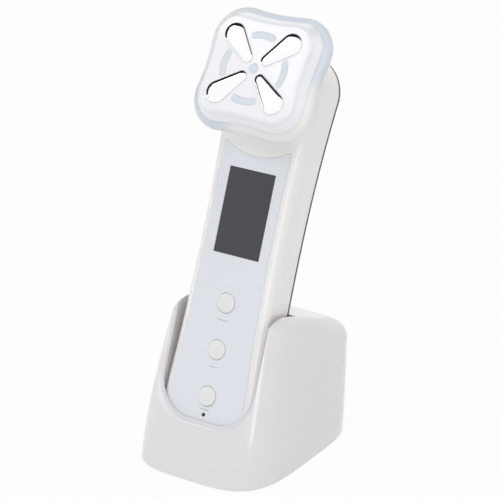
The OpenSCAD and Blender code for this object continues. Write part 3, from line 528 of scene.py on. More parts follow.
class Handle:
    """The handle's outlines: x across, y into the handset, z up from its foot, in millimetres."""

    WAIST_S = 89
    FOOT_S = 25
    NECK_S = 145
    TAPER = 0.02
    CROWN = (0.064, 0.8)

    def __init__(self, size):
        self.size = size
        self.foot_cx = self.half_w(size.foot_r) - size.foot_r
        self.crown_cz = size.handle_len - size.crown_r
        self.crown_cx = self.half_w(self.crown_cz) - size.crown_r

    def half_w(self, s):
        """Half the handle's width at the height s."""
        size = self.size
        end, at = (size.foot_w, self.FOOT_S) if s < self.WAIST_S else (size.neck_w, self.NECK_S)
        share = ((s - self.WAIST_S) / (at - self.WAIST_S)) ** 2
        return size.waist_w / 2 + (end - size.waist_w) / 2 * share

    def half_outline(self, o, turns=18, steps=36):
        """The right half of the outline, o inside its edge, from the foot to the crown."""
        size = self.size
        side = [mix(size.foot_r, self.crown_cz, i / steps) for i in range(1, steps)]
        return [
            *arc(self.foot_cx, size.foot_r, size.foot_r - o, -90, 0, turns),
            *((self.half_w(s) - o, s) for s in side),
            *arc(self.crown_cx, self.crown_cz, size.crown_r - o, 0, 90, turns),
        ]

    def level(self, o, y, taper=0.0):
        """The outline at the depth y of the waist, which the taper changes up the handle."""
        half = self.half_outline(o)
        return [(x, y + taper * (s - self.WAIST_S), s) for x, s in half + mirror(half)]

    def casing_rings(self, o, front, back):
        """The casing, o inside its surface, from its back to its rounded front edge."""
        edge = self.size.edge_r
        rings = [self.level(o, back, self.TAPER)]
        for a in range(0, 91, 6):
            rings.append(self.level(o + (edge - o) * (1 - cosine(a)), mix(edge, front, sine(a))))
        return rings

    def crown_rings(self, o, start, steps=14):
        """The back plate, o inside its surface, from the middle of its crown to the casing."""
        size = self.size
        back = size.casing_d + size.plate_rim - o
        run = []
        for i in range(steps, 0, -1):
            inset = mix(*self.CROWN, i / steps) * size.foot_r
            run.append((max(inset, o + 1), back + sine(90 * i / steps) * size.plate_crown))
        run += smoothed([(o + 0.3, back), (o + 0.06, back - 0.08), (o, back - 0.25)], 1)
        return [self.level(inset, y, self.TAPER) for inset, y in run + [(o, start)]]

    def panel_outline(self, gap):
        """The front panel with its hollow top, a gap wider all round."""
        size = self.size
        x = self.half_w(size.panel_top + 2) - size.panel_inset - size.panel_corner_r
        top = size.panel_top + size.panel_arc_r
        reach = size.panel_arc_r + size.panel_corner_r
        turn = math.degrees(math.asin(x / reach))
        s = top - reach * cosine(turn)
        half = [
            *(p for p in self.half_outline(size.panel_inset - gap) if p[1] < s - 0.5),
            *arc(x, s, size.panel_corner_r + gap, 0, 90 + turn, 12),
            *arc(0, top, size.panel_arc_r - gap, turn * 23 / 24 - 90, -90, 23),
        ]
        return half + mirror(half[:-1])


class Head(Handle):
    """The head's outlines: x across, y into the head, z up its face."""

    def __init__(self, size):
        super().__init__(size)
        self.matrix = (
            HANDSET
            @ Matrix.Translation(Vector((0, -size.head_reach, size.head_s)) * MM)
            @ Matrix.Rotation(-size.head_tilt, 4, "X")
        )
        self.bow_x = (size.corner_x**2 - size.side_bow**2) / (2 * size.side_bow)
        self.bow_y = (size.corner_y**2 - size.side_bow**2) / (2 * size.side_bow)
        self.neck_q = size.cap_d + size.ring_t
        self.neck_r = size.cap_r - 2
        self.pad_dir = math.atan2(size.pad_y, size.pad_x)
        self.pad_len = math.hypot(size.pad_x, size.pad_y) - size.pad_tip_at
        self.pad_flare = math.degrees(math.asin((size.pad_r - size.pad_tip_r) / self.pad_len))
        self.stud = turned(size.pad_tip_at + 0.45 * self.pad_len, 0, -self.pad_dir)

    def point(self, y, z):
        """A point of the head's frame as (y, z) of the handle's."""
        dy, dz = turned(y, z, self.size.head_tilt)
        return dy - self.size.head_reach, dz + self.size.head_s

    def quarter(self, r):
        """The outline with the corner radius r, from the middle of the right side to the top."""
        size = self.size
        turn_x = math.degrees(math.atan(size.corner_x / self.bow_x))
        turn_y = math.degrees(math.atan(size.corner_y / self.bow_y))
        side_r = math.hypot(size.corner_y, self.bow_y) - r
        top_r = math.hypot(size.corner_x, self.bow_x) - r
        return [
            *arc(size.corner_x + self.bow_y, 0, side_r, 180, 180 - turn_y, 8, closed=False),
            *arc(size.corner_x, size.corner_y, r, -turn_y, 90 + turn_x, 24),
            *arc(0, size.corner_y + self.bow_x, top_r, turn_x * 7 / 8 - 90, -90, 7),
        ]

    def ring(self, r, y):
        """The whole outline with the corner radius r, at the depth y."""
        quarter = self.quarter(r)
        half = quarter + mirror(quarter[1:-1])
        return [(x, y, z) for x, z in half + [(-x, -z) for x, z in half]]

    def skin(self, name, profile):
        """A solid through outlines of the head, each given by its corner radius and depth."""
        return loft(name, placed([self.ring(r, y) for r, y in profile], self.matrix))

    def drop(self, o, y):
        """A drop with its small end towards the middle, o inside its edge, in the upper right."""
        size, flare = self.size, self.pad_flare
        at = size.pad_tip_at
        end = arc(at + self.pad_len, 0, size.pad_r - o, -90 - flare, 90 + flare, 40)
        tip = arc(at, 0, size.pad_tip_r - o, 90 + flare, 270 - flare, 24)
        run = end + between(end[-1], tip[0], 11) + tip + between(tip[-1], end[0], 11)
        return [(x, y, z) for x, z in (turned(u, v, -self.pad_dir) for u, v in run)]

    def light(self, turn, gap):
        """The front view of a light arc with round ends, turned about the middle."""
        middle, r = self.size.arc_r, self.size.arc_w / 2 + gap
        start, end = 90 - LIGHT_HALF_ANGLE, 90 + LIGHT_HALF_ANGLE

        def tip(at, first):
            x, z = middle * cosine(at), middle * sine(at)
            return arc(x, z, r, first + 15, first + 165, 10)

        points = [
            *arc(0, 0, middle + r, start, end, 16),
            *tip(end, end),
            *arc(0, 0, middle - r, end, start, 16),
            *tip(start, start - 180),
        ]
        return [turned(x, z, math.radians(turn)) for x, z in points]

    def neck_rings(self, w, q, spare=0.0, steps=24, m=120):
        """The neck, w inside its surface, from the handle to the depth q of the head."""
        size = self.size
        corner = size.corner_y + self.neck_r - w
        low, high = self.point(q, -corner), self.point(q, corner)
        foot, sink = size.panel_top + 1, 0.8
        top = (size.casing_d - 3, size.handle_len - 2 - w)
        root, end = self.half_w(self.crown_cz) - 0.9, size.corner_x + self.neck_r
        rings = []
        for i in range(steps + 1):
            t = i / steps
            rise = 1 - cosine(90 * t)
            p0 = (mix(w + sink, low[0], rise), mix(foot + 1.5 * w, low[1], sine(90 * t)))
            p1 = [mix(a, b, t) for a, b in zip(top, high)]
            rings.append(oval(p0, p1, mix(root, end, t) - w, mix(3, 5, t), 5, m))
        if spare:
            p0, p1 = self.point(q - spare, -corner), self.point(q - spare, corner)
            rings.append(oval(p0, p1, end - w, 5, 5, m))
        return rings


def placed(rings, matrix=HANDSET):
    """Rings in millimetres of a frame, as points in the world."""
    return [[matrix @ (Vector(p) * MM) for p in ring] for ring in rings]


def prism(name, outline, y0, y1, matrix=HANDSET):
    """A front view's outline, carried from one depth to another."""
    return loft(name, placed([[(x, y, z) for x, z in outline] for y in (y1, y0)], matrix))


# --- forms of the cradle ------------------------------------------------------------------------


class Cradle:
    """The cradle's outlines, in the world's frame and in the handset's, in millimetres."""

    SKIRT_Z = 0.8
    BULGE = 0.8
    BACK_RISE = 1.3
    TOE_N, BROW_N, HEEL_N, CREST_N = 3.6, 8, 5, 8
    NARROW = 0.18
    HEADROOM = 20

    def __init__(self, size, handle):
        self.size = size
        self.handle = handle
        self.dock = DOCK / MM
        self.shoulder_s = size.cradle_top - size.shoulder_r
        self.heel_s = size.cradle_top - size.top_r
        self.brow = self.point(-size.rim_t, self.shoulder_s)
        self.heel = self.point(self.back_reach(self.heel_s), self.heel_s)
        self.toe_half = size.cradle_w / 2
        rise = (self.brow[1] + self.heel[1]) / 2
        self.top_half = self.toe_half - math.tan(size.side_draft) * rise

    def point(self, y, z):
        """A point of the handset's frame as (y, z) of the world's."""
        dy, dz = turned(y, z, LEAN)
        return self.dock.y + dy, self.dock.z + dz

    def back_reach(self, s):
        """How far back the cradle goes behind the handset's front at the height s."""
        return (self.size.cradle_d / 2 - self.dock.y - s * math.sin(LEAN)) / math.cos(LEAN)

    def side_ring(self, t, w, m, sink=0.0):
        """The side, w inside its surface, at a share t of the way up."""
        half_d = self.size.cradle_d / 2
        p0 = [mix(a, b, t) for a, b in zip((-half_d, self.SKIRT_Z), self.brow)]
        p1 = [mix(a, b, t) for a, b in zip((half_d - self.BACK_RISE, self.SKIRT_Z), self.heel)]
        p0[0] += w / math.cos(LEAN) - self.BULGE * 4 * t * (1 - t)
        p1[0] -= w
        p0[1] -= sink
        p1[1] -= sink
        half = mix(self.toe_half, self.top_half, t) - w
        front_n, back_n = mix(self.TOE_N, self.BROW_N, t), mix(self.HEEL_N, self.CREST_N, t)
        return oval(p0, p1, half, front_n, back_n, m, self.NARROW * t)

    def top_ring(self, a, w, m):
        """The rounding over the top, w inside its surface, at an angle of it."""
        size = self.size
        front, back = size.shoulder_r - w, size.top_r - w
        front_y = size.shoulder_r - size.rim_t - front * cosine(a)
        back_y = self.back_reach(self.heel_s) - size.top_r + back * cosine(a)
        p0 = self.point(front_y, self.shoulder_s + front * sine(a))
        p1 = self.point(back_y, self.heel_s + back * sine(a))
        half = self.top_half - size.top_r + back * cosine(a)
        return oval(p0, p1, half, self.BROW_N, self.CREST_N, m, self.NARROW)

    def rings(self, w, m=240, sides=24, turns=15, sink=0.0):
        """The whole body, w inside its surface, with m points to a ring."""
        rings = [self.side_ring(0, w, m, sink)]
        rings += [self.side_ring(i / sides, w, m) for i in range(1, sides + 1)]
        return rings + [self.top_ring(90 * i / turns, w, m) for i in range(1, turns + 1)]

    def pocket(self, w):
        """The space of the docked handle, w wider all round."""
        size = self.size
        gap = size.pocket_gap + w
        half = self.handle.half_w(size.foot_r) + gap
        casing_back = size.casing_d + self.handle.TAPER * (size.cradle_top - self.handle.WAIST_S)
        back = casing_back + size.plate_rim + size.plate_crown + gap
        heights = (-0.3 - w, size.cradle_top + self.HEADROOM)
        return block((-half, half), (-gap, back), heights, rounding=size.edge_r + gap, segments=12)

    def plan_k(self, x, a, n, narrow):
        """How far to the front the side's plan reaches at x, as a share of its half depth."""
        k = 1.0
        for _ in range(6):
            k = (1 - min(0.98, x / (a * (1 - narrow * k * k))) ** n) ** (1 / n)
        return k

    def fall_back(self, x, s):
        """How far the front lies behind its middle at x and the height s."""
        z = self.point(-self.size.rim_t, s)[1]
        t = min(1.0, (z - self.SKIRT_Z) / (self.brow[1] - self.SKIRT_Z))
        half, n = mix(self.toe_half, self.top_half, t), mix(self.TOE_N, self.BROW_N, t)
        k = self.plan_k(abs(x), half, n, self.NARROW * t)
        return (self.back_reach(s) + self.size.rim_t) / 2 * (1 - k)

    def notch_rings(self):
        """The U-shaped notch with the rolled edge of its rim, from the pocket outwards."""
        size = self.size
        c = size.foot_w / 2 + size.notch_gap - size.notch_r
        z = size.rim_s + size.notch_r
        half = [(c, z, *turn) for turn in arc(0, 0, 1, -90, 0, 30)]
        half += [(c, mix(z, self.shoulder_s, i / 12), 1, 0) for i in range(1, 13)]
        half.append((c, size.cradle_top + self.HEADROOM, 1, 0))
        edge = half + [(-x, s, -u, v) for x, s, u, v in reversed(half)]

        def level(o, y, bent=1.0):
            r = size.notch_r + o
            ring = []
            for x, s, u, v in edge:
                fall = self.fall_back(x + size.notch_r * u, s + size.notch_r * v)
                ring.append((x + r * u, y + bent * fall, s + r * v))
            return ring

        r, front, lip = size.rim_r, -size.rim_t, 1.5
        rolled = arc(r, front + r, r, 180, 258, 12)
        rings = [level(0, 6, 0), level(0, 2), *(level(o, y) for o, y in rolled)]
        return rings + [level(r + lip, front - lip), level(r + lip, front - 14, 0)]


# --- materials ----------------------------------------------------------------------------------


class Signal:
    """A socket of a material, whose sums and products add the nodes that work them out."""

    def __init__(self, paint, socket):
        self.paint = paint
        self.socket = socket

    def _math(self, operation, a, b=0.0):
        return self.paint.node("ShaderNodeMath", {"operation": operation}, {0: a, 1: b})

    def __add__(self, other):
        return self._math("ADD", self, other)

    __radd__ = __add__

    def __sub__(self, other):
        return self._math("SUBTRACT", self, other)

    def __rsub__(self, other):
        return self._math("SUBTRACT", other, self)

    def __mul__(self, other):
        return self._math("MULTIPLY", self, other)

    __rmul__ = __mul__

    def __abs__(self):
        return self._math("ABSOLUTE", self)

    def root(self):
        return self._math("SQRT", self)

    def least(self, other):
        return self._math("MINIMUM", self, other)

    def most(self, other):
        return self._math("MAXIMUM", self, other)

    def less(self, other):
        return self._math("LESS_THAN", self, other)

    def ramp(self, low, high):
        """0 below low, 1 above high and smooth between them."""
        return self.paint.node(
            "ShaderNodeMapRange",
            {"interpolation_type": "SMOOTHSTEP"},
            {"Value": self, "From Min": low, "From Max": high},
        )


class Paint:
    """The nodes of a material or world under construction."""

    def __init__(self, owner):
        self.owner = owner
        owner.use_nodes = True
        self.tree = owner.node_tree
        self.tree.nodes.clear()

    def node(self, kind, settings=None, sockets=None, out=0):
        """Adds a node: its settings first, then the values or links of its sockets."""
        made = self.tree.nodes.new(kind)
        for key, value in (settings or {}).items():
            setattr(made, key, value)
        for key, value in (sockets or {}).items():
            socket = made.inputs[key]
            if isinstance(value, Signal):
                self.tree.links.new(value.socket, socket)
            elif socket.type == "RGBA" and len(value) == 3:
                socket.default_value = (*value, 1)
            else:
                socket.default_value = value
        return Signal(self, made.outputs[out]) if len(made.outputs) else None

    def place(self, matrix=None):
        """Object coordinates in metres, or those of a frame that the matrix puts in place."""
        here = self.node("ShaderNodeTexCoord", out=3)
        if matrix is None:
            return here
        back = matrix.inverted()
        return self.node(
            "ShaderNodeMapping",
            {"vector_type": "POINT"},
            {0: here, 1: tuple(back.translation), 2: tuple(back.to_euler())},
        )

    def parts(self, matrix):
        """The three coordinates in a frame, in millimetres."""
        split = self.node("ShaderNodeSeparateXYZ", {}, {0: self.place(matrix)}).socket.node
        return [Signal(self, s) * (1 / MM) for s in split.outputs]

    def noise(self, scale, detail=2.0, roughness=0.5, stretch=None):
        here = self.place()
        if stretch:
            settings = {"operation": "MULTIPLY"}
            here = self.node("ShaderNodeVectorMath", settings, {0: here, 1: stretch})
        return self.node(
            "ShaderNodeTexNoise",
            {"noise_dimensions": "3D"},
            {"Vector": here, "Scale": scale, "Detail": detail, "Roughness": roughness},
        )

    def cells(self, scale, out=0):
        sockets = {"Vector": self.place(), "Scale": scale}
        return self.node("ShaderNodeTexVoronoi", {"feature": "F1"}, sockets, out)

    def bands(self, direction, scale, matrix=None):
        settings = {"wave_type": "BANDS", "bands_direction": direction}
        sockets = {"Vector": self.place(matrix), "Scale": scale}
        return self.node("ShaderNodeTexWave", settings, sockets)

    def blend(self, factor, a, b):
        """A mix of two colours."""
        return self.node("ShaderNodeMix", {"data_type": "RGBA"}, {0: factor, 6: a, 7: b}, out=2)

    def tones(self, factor, colour, low, high):
        """A colour that the factor takes from one strength to another."""
        return self.blend(factor, shade(colour, low), shade(colour, high))

    def bump(self, height, strength, distance, below=None):
        """A normal from a height, its distance in millimetres."""
        sockets = {"Strength": strength, "Distance": distance * MM, "Height": height}
        if below is not None:
            sockets["Normal"] = below
        return self.node("ShaderNodeBump", {}, sockets)

    def finish(self, **sockets):
        """Ends the material in a surface whose sockets are given by name, with _ for a space."""
        named_sockets = {k.replace("_", " "): v for k, v in sockets.items()}
        self.end(self.node("ShaderNodeBsdfPrincipled", {}, named_sockets))
        return self.owner

    def end(self, surface, kind="Material"):
        self.node(f"ShaderNodeOutput{kind}", {}, {"Surface": surface})


def paint(name):
    return Paint(bpy.data.materials.new(name))


def shade(colour, factor):
    return tuple(min(1.0, c * factor) for c in colour)


def moulding(name, colour, roughness=0.3, grain=0.02, coat=0.8):
    """A moulding with fine grain and a little unevenness of colour and gloss."""
    p = paint(name)
    cloud, fine = p.noise(38, 3), p.noise(2600, 2, 0.6)
    return p.finish(
        Base_Color=p.tones(cloud, colour, 0.99, 1),
        Roughness=cloud * 0.05 + fine * 0.02 + (roughness - 0.035),
        Normal=p.bump(fine, grain, 0.04),
        IOR=1.5,
        Coat_Weight=coat,
        Coat_Roughness=0.05,
    )


def frosted(name, colour, pale, head):
    """A frosted clear moulding, tinted where it stands free; where the white parts stand behind it,
    and along its back edge, it is paled by painted see-through light of those parts.
    """
    p = paint(name)
    x, y, z = p.parts(head.matrix)
    # Painted see-through light: top and corner mark where the ring stands free and keeps its tint;
    # everywhere else it takes the pale colour of the white parts behind it.
    top = (x * 0.5 + z * 0.9).ramp(7, 17)
    corner = (0 - x - z).ramp(27, 36)
    # Painted see-through light: paler along the back edge, where the ring meets the white neck.
    edge = y.ramp(head.neck_q - 1.5, head.neck_q - 0.1)
    cloud, fine = p.noise(60), p.noise(3200, 2, 0.6)
    body = p.blend(top.most(corner), pale, p.tones(cloud, colour, 0.985, 1))
    return p.finish(
        Base_Color=p.blend(edge * 0.7, body, pale),
        Roughness=fine * 0.1 + 0.3,
        Normal=p.bump(fine, 0.06, 0.04),
        IOR=1.45,
        Subsurface_Weight=0.15,
        Subsurface_Radius=(1.0, 1.0, 1.0),
        Subsurface_Scale=2 * MM,
        Coat_Weight=0.4,
        Coat_Roughness=0.06,
    )


def lamp_lens(name, colour, head):
    """A diffusing lens with a fine stipple, unlit, a little darker along the lights' edges."""
    p = paint(name)
    x, _, z = p.parts(head.matrix)
    stipple, cloud = p.cells(2200), p.noise(300)
    radius = (x * x + z * z).root()
    arc_half, dot_r = head.size.arc_w / 2, head.size.dot_d / 2
    rim = abs(radius - head.size.arc_r).ramp(arc_half - 0.4, arc_half - 0.05) * radius.ramp(9, 10)
    dot = radius.ramp(dot_r - 0.45, dot_r - 0.05) * (5 - radius).ramp(0, 1)
    base = p.tones(cloud, colour, 0.98, 1)
    return p.finish(
        Base_Color=p.blend((rim + dot) * 0.8, base, shade(colour, 0.8)),
        Roughness=stipple * 0.1 + 0.3,
        Normal=p.bump(stipple, 0.05, 0.03),
        IOR=1.46,
    )


def polished(name, colour, roughness, wear):
    """Mirror-polished plate with faint hair lines."""
    p = paint(name)
    hair, cloud = p.noise(1, stretch=(300, 5200, 5200)), p.noise(55)
    return p.finish(
        Base_Color=p.tones(cloud, colour, 0.97, 1),
        Metallic=1.0,
        Roughness=hair * wear + cloud * 0.02 + roughness,
        Normal=p.bump(hair, 0.012, 0.01),
    )


def brushed(name, colour, roughness=0.28):
    """Plated or drawn metal with fine lines and slight spots."""
    p = paint(name)
    lines, spots = p.noise(1, 3, stretch=(500, 500, 7000)), p.noise(900)
    return p.finish(
        Base_Color=p.tones(spots, colour, 0.9, 1),
        Metallic=1.0,
        Roughness=lines * 0.14 + roughness,
        Normal=p.bump(lines, 0.08, 0.03),
    )


def printed_panel(name, colour, marks, grey):
    """A glossy panel, back-printed a pale colour, with a small bar under each button."""
    p = paint(name)
    x, _, z = p.parts(HANDSET)
    mask = 0
    for height, half_width in marks:
        mask += abs(z - height).less(0.2) * abs(x).less(half_width)
    cloud, fine = p.noise(30), p.noise(1800)
    # Painted shade: the panel turns a little darker towards its top.
    tone = p.tones(z.ramp(10, 118), colour, 1, 0.985)
    base = p.blend(cloud * 0.5, tone, shade(colour, 0.99))
    return p.finish(
        Base_Color=p.blend(mask, base, grey),
        Roughness=cloud * 0.04 + fine * 0.02 + 0.16,
        Normal=p.bump(cloud, 0.02, 0.05),
        IOR=1.49,
        Coat_Weight=0.6,
        Coat_Roughness=0.04,
    )


def smoked(name, colour):
    """Smoked glossy window over an unlit display, whose fine cells show faintly."""
    p = paint(name)
    cells, cloud = p.bands("Z", 260, HANDSET), p.noise(45)
    base = p.tones(cloud, colour, 0.93, 1.05)
    return p.finish(
        Base_Color=p.blend(cells * 0.05, base, shade(colour, 0.7)),
        Roughness=cloud * 0.05 + 0.14,
        IOR=1.5,
        Coat_Weight=0.5,
        Coat_Roughness=0.05,
    )


def rubber(name, colour):
    """Matt sleeving with a fine skin."""
    p = paint(name)
    fine, cloud = p.noise(1600, 4, 0.65), p.noise(50)
    return p.finish(
        Base_Color=p.tones(cloud, colour, 0.85, 1.1),
        Roughness=fine * 0.2 + 0.68,
        Normal=p.bump(fine, 0.25, 0.08),
        IOR=1.5,
    )


def ribbed_rubber(name, colour):
    """Anti-slip rubber with fine ribs across it."""
    p = paint(name)
    ribs, fine, cloud = p.bands("Y", 90), p.noise(1400, 3), p.noise(40)
    base = p.tones(cloud, colour, 0.85, 1.1)
    return p.finish(
        Base_Color=p.blend(ribs * 0.35, base, shade(colour, 1.5)),
        Roughness=fine * 0.15 + 0.7,
        Normal=p.bump(fine, 0.2, 0.05, p.bump(ribs, 0.5, 0.3)),
    )


def circuit(name, colour):
    """Solder mask with copper tracks under it."""
    p = paint(name)
    black, white = (0, 0, 0), (1, 1, 1)
    tracks = p.node(
        "ShaderNodeTexBrick",
        {"offset": 0.37, "squash": 1.0},
        {
            "Vector": p.place(), "Scale": 260, "Mortar Size": 0.045,
            "Color1": black, "Color2": black, "Mortar": white,
        },
        out=1,
    )
    cloud = p.noise(90)
    base = p.tones(cloud, colour, 0.85, 1.15)
    return p.finish(
        Base_Color=p.blend(tracks * 0.5, base, shade(colour, 1.7)),
        Roughness=cloud * 0.1 + 0.32,
        Normal=p.bump(tracks, 0.3, 0.06),
        Coat_Weight=0.3,
    )


def mixed_parts(name, a, b, scale=160):
    """Small moulded and plated parts, their tones changing from one to the next."""
    p = paint(name)
    tone, fine = p.node("ShaderNodeRGBToBW", {}, {0: p.cells(scale, 1)}), p.noise(1800)
    return p.finish(
        Base_Color=p.blend(tone.ramp(0.3, 0.7), a, b),
        Roughness=fine * 0.15 + 0.42,
        Normal=p.bump(fine, 0.12, 0.05),
    )


def cell_wrap(name, colour, band):
    """Shrink wrap with a band across it and slight creases."""
    p = paint(name)
    z = p.parts(HANDSET)[2]
    crease = p.noise(240, 4, 0.6)
    base = p.tones(crease, colour, 0.9, 1.08)
    return p.finish(
        Base_Color=p.blend(abs(z - 62).less(2.2), base, band),
        Roughness=crease * 0.12 + 0.24,
        Normal=p.bump(crease, 0.15, 0.1),
        Coat_Weight=0.3,
    )


def give(node, material):
    """Puts a material on a node of the frame."""
    obj = frame["nodes"][node]
    if obj.material_slots:
        for slot in obj.material_slots:
            slot.material = material
    else:
        obj.data.materials.append(material)


# --- operators ----------------------------------------------------------------------------------


def share_of(value, start, run):
    """How far a value is along a run, from 0 to 1."""
    return min(1.0, max(0.0, (value - start) / run))


def blended_casing(head):
    """The casing and the neck as one solid, smoothed where they meet, open to the back and head."""
    size = head.size
    voxel = 0.6
    seam_z, seam_y, least, passes = 113, 6, 0.12, 26
    casing = loft("handset_casing", placed(head.casing_rings(0, 0, size.casing_d + 1.5)))
    neck = loft("neck", placed(head.neck_rings(0, head.neck_q, 2.5)))
    use(casing)
    neck.select_set(True)
    bpy.ops.object.join()
    apply(casing, "REMESH", mode="VOXEL", voxel_size=voxel * MM, adaptivity=0)
    inverse = HANDSET.inverted()
    group = casing.vertex_groups.new(name="neck")
    for v in casing.data.vertices:
        p = inverse @ v.co / MM
        share = share_of(p.z, seam_z, 6) * (1 - share_of(p.y, seam_y, 5))
        group.add([v.index], mix(least, 1, share), "REPLACE")
    apply(casing, "SMOOTH", factor=0.5, iterations=int(passes / voxel), vertex_group="neck")
    casing.vertex_groups.clear()
    rim = HANDSET @ (Vector((0, size.casing_d - head.TAPER * head.WAIST_S, 0)) * MM)
    trim(casing, rim, HANDSET.to_3x3() @ Vector((0, 1, -head.TAPER)).normalized())
    front = head.matrix @ (Vector((0, head.neck_q, 0)) * MM)
    trim(casing, front, head.matrix.to_3x3() @ Vector((0, -1, 0)))
    return casing


class TONING_OT_casing(bpy.types.Operator):
    """Front casing, whose neck flows up to the head"""

    bl_idname = "toning.casing"
    bl_label = "Front casing"

    def execute(self, context):
        scene = context.scene
        size = sizes(scene.toning_handle, scene.toning_head)
        head = Head(size)
        wall, neck = size.casing_wall, (head.neck_q - 1, head.neck_q + 3)
        casing = blended_casing(head)
        hollow = loft(
            "hollow", placed(head.casing_rings(wall, size.front_wall, size.casing_d + 3))
        )
        throat = head.neck_rings(wall, head.neck_q + size.flange_t, 0, 12, 60)
        join(hollow, loft("throat", placed(throat)))
        for side in (-1, 1):
            for x, z in CASING_SCREWS:
                cut(hollow, peg(*CASING_POST, side * x, z, vertices=32))
        cut(casing, hollow, prism("recess", head.panel_outline(0.1), -3, size.panel_t + 0.05))
        x, z = size.window_w / 2 - WINDOW_LEDGE, size.window_s + WINDOW_LEDGE
        cut(casing, block((-x, x), (-1, 4), (z, z + size.window_h - 2 * WINDOW_LEDGE)))
        for z in BUTTON_HEIGHTS:
            cut(casing, peg(size.button_d / 2 + BUTTON_GAP, -1, 4, 0, z, vertices=48))
        cut(casing, peg(INDICATOR_R, -1, 4, 0, INDICATOR_Z))
        for side in (-1, 1):
            for x, z in CASING_SCREWS:
                cut(casing, peg(*CASING_BORE, side * x, z))
            cut(casing, post(*CONTACT_BORE, side * CONTACT_X, CONTACT_Y))
            for z in (-size.corner_y, size.corner_y):
                cut(casing, peg(HEAD_SCREW_R, *neck, side * size.corner_x, z, head.matrix))
        cut(casing, peg(HARNESS_R, *neck, 0, 0, head.matrix, 48))
        white = moulding("casing_white", scene.toning_finish.casing)
        dress(largest_part(casing), white, "handset", "shell_white", "front_casing")
        return {"FINISHED"}


class TONING_OT_back_plate(bpy.types.Operator):
    """Crowned back plate, polished"""

    bl_idname = "toning.back_plate"
    bl_label = "Back plate"

    def execute(self, context):
        scene = context.scene
        size = sizes(scene.toning_handle)
        handle = Handle(size)
        plate = loft("handset_back_plate", placed(handle.crown_rings(0, size.casing_d + 0.05)))
        cut(plate, loft("inside", placed(handle.crown_rings(size.plate_t, size.casing_d - 1))))
        # Painted reflection: the mirror plate's steel tint is darkened to a tenth, standing in for
        # the dark surroundings it reflects.
        painted_dark_chrome = polished("plate_chrome", shade(scene.toning_finish.steel, 0.11), 0.06, 0.05)
        dress(plate, painted_dark_chrome, "handset", "mirror_plate", "back_plate")
        return {"FINISHED"}


class TONING_OT_panel(bpy.types.Operator):
    """Front panel with its display window"""

    bl_idname = "toning.panel"
    bl_label = "Panel and window"

    def execute(self, context):
        scene = context.scene
        tones = scene.toning_finish
        size = sizes(scene.toning_handle)
        panel = prism("handset_panel", Handle(size).panel_outline(0), 0, size.panel_t)
        x, z, top = size.window_w / 2, size.window_s, size.window_s + size.window_h
        wide, high = (-x - WINDOW_GAP, x + WINDOW_GAP), (z - WINDOW_GAP, top + WINDOW_GAP)
        cut(panel, block(wide, (-1, 3), high))
        for s in BUTTON_HEIGHTS:
            cut(panel, peg(size.button_d / 2 + BUTTON_GAP, -1, 3, 0, s, vertices=64))
        cut(panel, peg(INDICATOR_R, -1, 3, 0, INDICATOR_Z, vertices=32))
        soften(panel, 0.14)
        drops, half_widths = (7.2, 7.2, 5.6), (2.6, 1.8, 2.2)
        marks = [(s - d, w) for s, d, w in zip(BUTTON_HEIGHTS, drops, half_widths)]
        gloss = printed_panel("panel_gloss", tones.panel, marks, linear(186, 190, 197))
        dress(panel, gloss, "handset", "panel_pale", "front_panel", degrees=20)
        window = block((-x, x), (0, size.panel_t), (z, top))
        window.name = "handset_display_window"
        soften(window, 0.12)
        glass = smoked("window_smoked", tones.window)
        dress(window, glass, "handset", "window_dark", "display_window", degrees=20)
        return {"FINISHED"}


class TONING_OT_buttons(bpy.types.Operator):
    """Three press buttons, each with a slight dome, a collar and a stem"""

    bl_idname = "toning.buttons"
    bl_label = "Buttons"

    def execute(self, context):
        scene = context.scene
        size = sizes(scene.toning_handle)
        r, rise, seat = size.button_d / 2, size.button_rise, size.front_wall + 0.05
        dome = [(0, 0), (r * 0.35, 0.02), (r * 0.62, 0.06)]
        dome += smoothed([(r - 0.75, 0.13), (r - 0.1, 0.24), (r, 0.75)])
        collar = [(r, 0), (r + 0.9, 0), (r + 0.9, 0.7), (1.5, 0.7), (1.5, 1.15), (0, 1.15)]
        profile = [(x, y - rise) for x, y in dome] + [(x, y + seat) for x, y in collar]
        button = lathe("button", profile)
        white = moulding("button_white", scene.toning_finish.button, 0.36, 0.04, 0.2)
        for name, s in zip(("mode", "level", "power"), BUTTON_HEIGHTS):
            up = HANDSET @ Matrix.Translation(Vector((0, 0, s)) * MM)
            key = copy_of(button, f"{name}_key_cap", up)
            dress(key, white, f"{name}_button", "button_white", f"{name}_button")
        bpy.data.objects.remove(button)
        return {"FINISHED"}


def head_cap(head):
    """The cap, with its screw posts, electrode seats and the openings of the lights."""
    size, matrix = head.size, head.matrix
    wall, r, face = size.cap_wall, size.cap_r, size.cap_r - size.cap_draft
    skirt = (r, size.cap_d - 0.6)
    profile = [(r, size.cap_d), skirt, *between(skirt, (face, size.face_r), 5)]
    profile += arc(face - size.face_r, size.face_r, size.face_r, 0, -90, 12)
    cap = head.skin("head_cap_shell", profile)
    inside = [(r - wall, size.cap_d + 1), (r - wall, skirt[1]), (face - wall, wall)]
    cut(cap, head.skin("inside", inside))
    for side, up in CORNERS:
        x, z = side * size.corner_x, up * size.corner_y
        join(cap, peg(CAP_POST_R, wall - 0.5, head.neck_q, x, z, matrix, 32))
        cut(cap, peg(CAP_BORE_R, wall + 0.6, head.neck_q + 1, x, z, matrix))
    for side, up in CORNERS:
        seat = [(side * x, up * z) for x, _, z in head.drop(-SEAT_GAP, 0)]
        cut(cap, prism("seat", seat, -1, size.pad_seat + 0.02, matrix))
        x, z = head.stud
        cut(cap, peg(STUD_HOLE_R, -1, wall + 1, side * x, up * z, matrix))
    for turn in range(0, 360, 90):
        cut(cap, prism("light", head.light(turn, LIGHT_GAP), -1, wall + 1, matrix))
    cut(cap, peg(size.dot_d / 2 + LIGHT_GAP, -1, wall + 1, 0, 0, matrix, 48))
    return cap


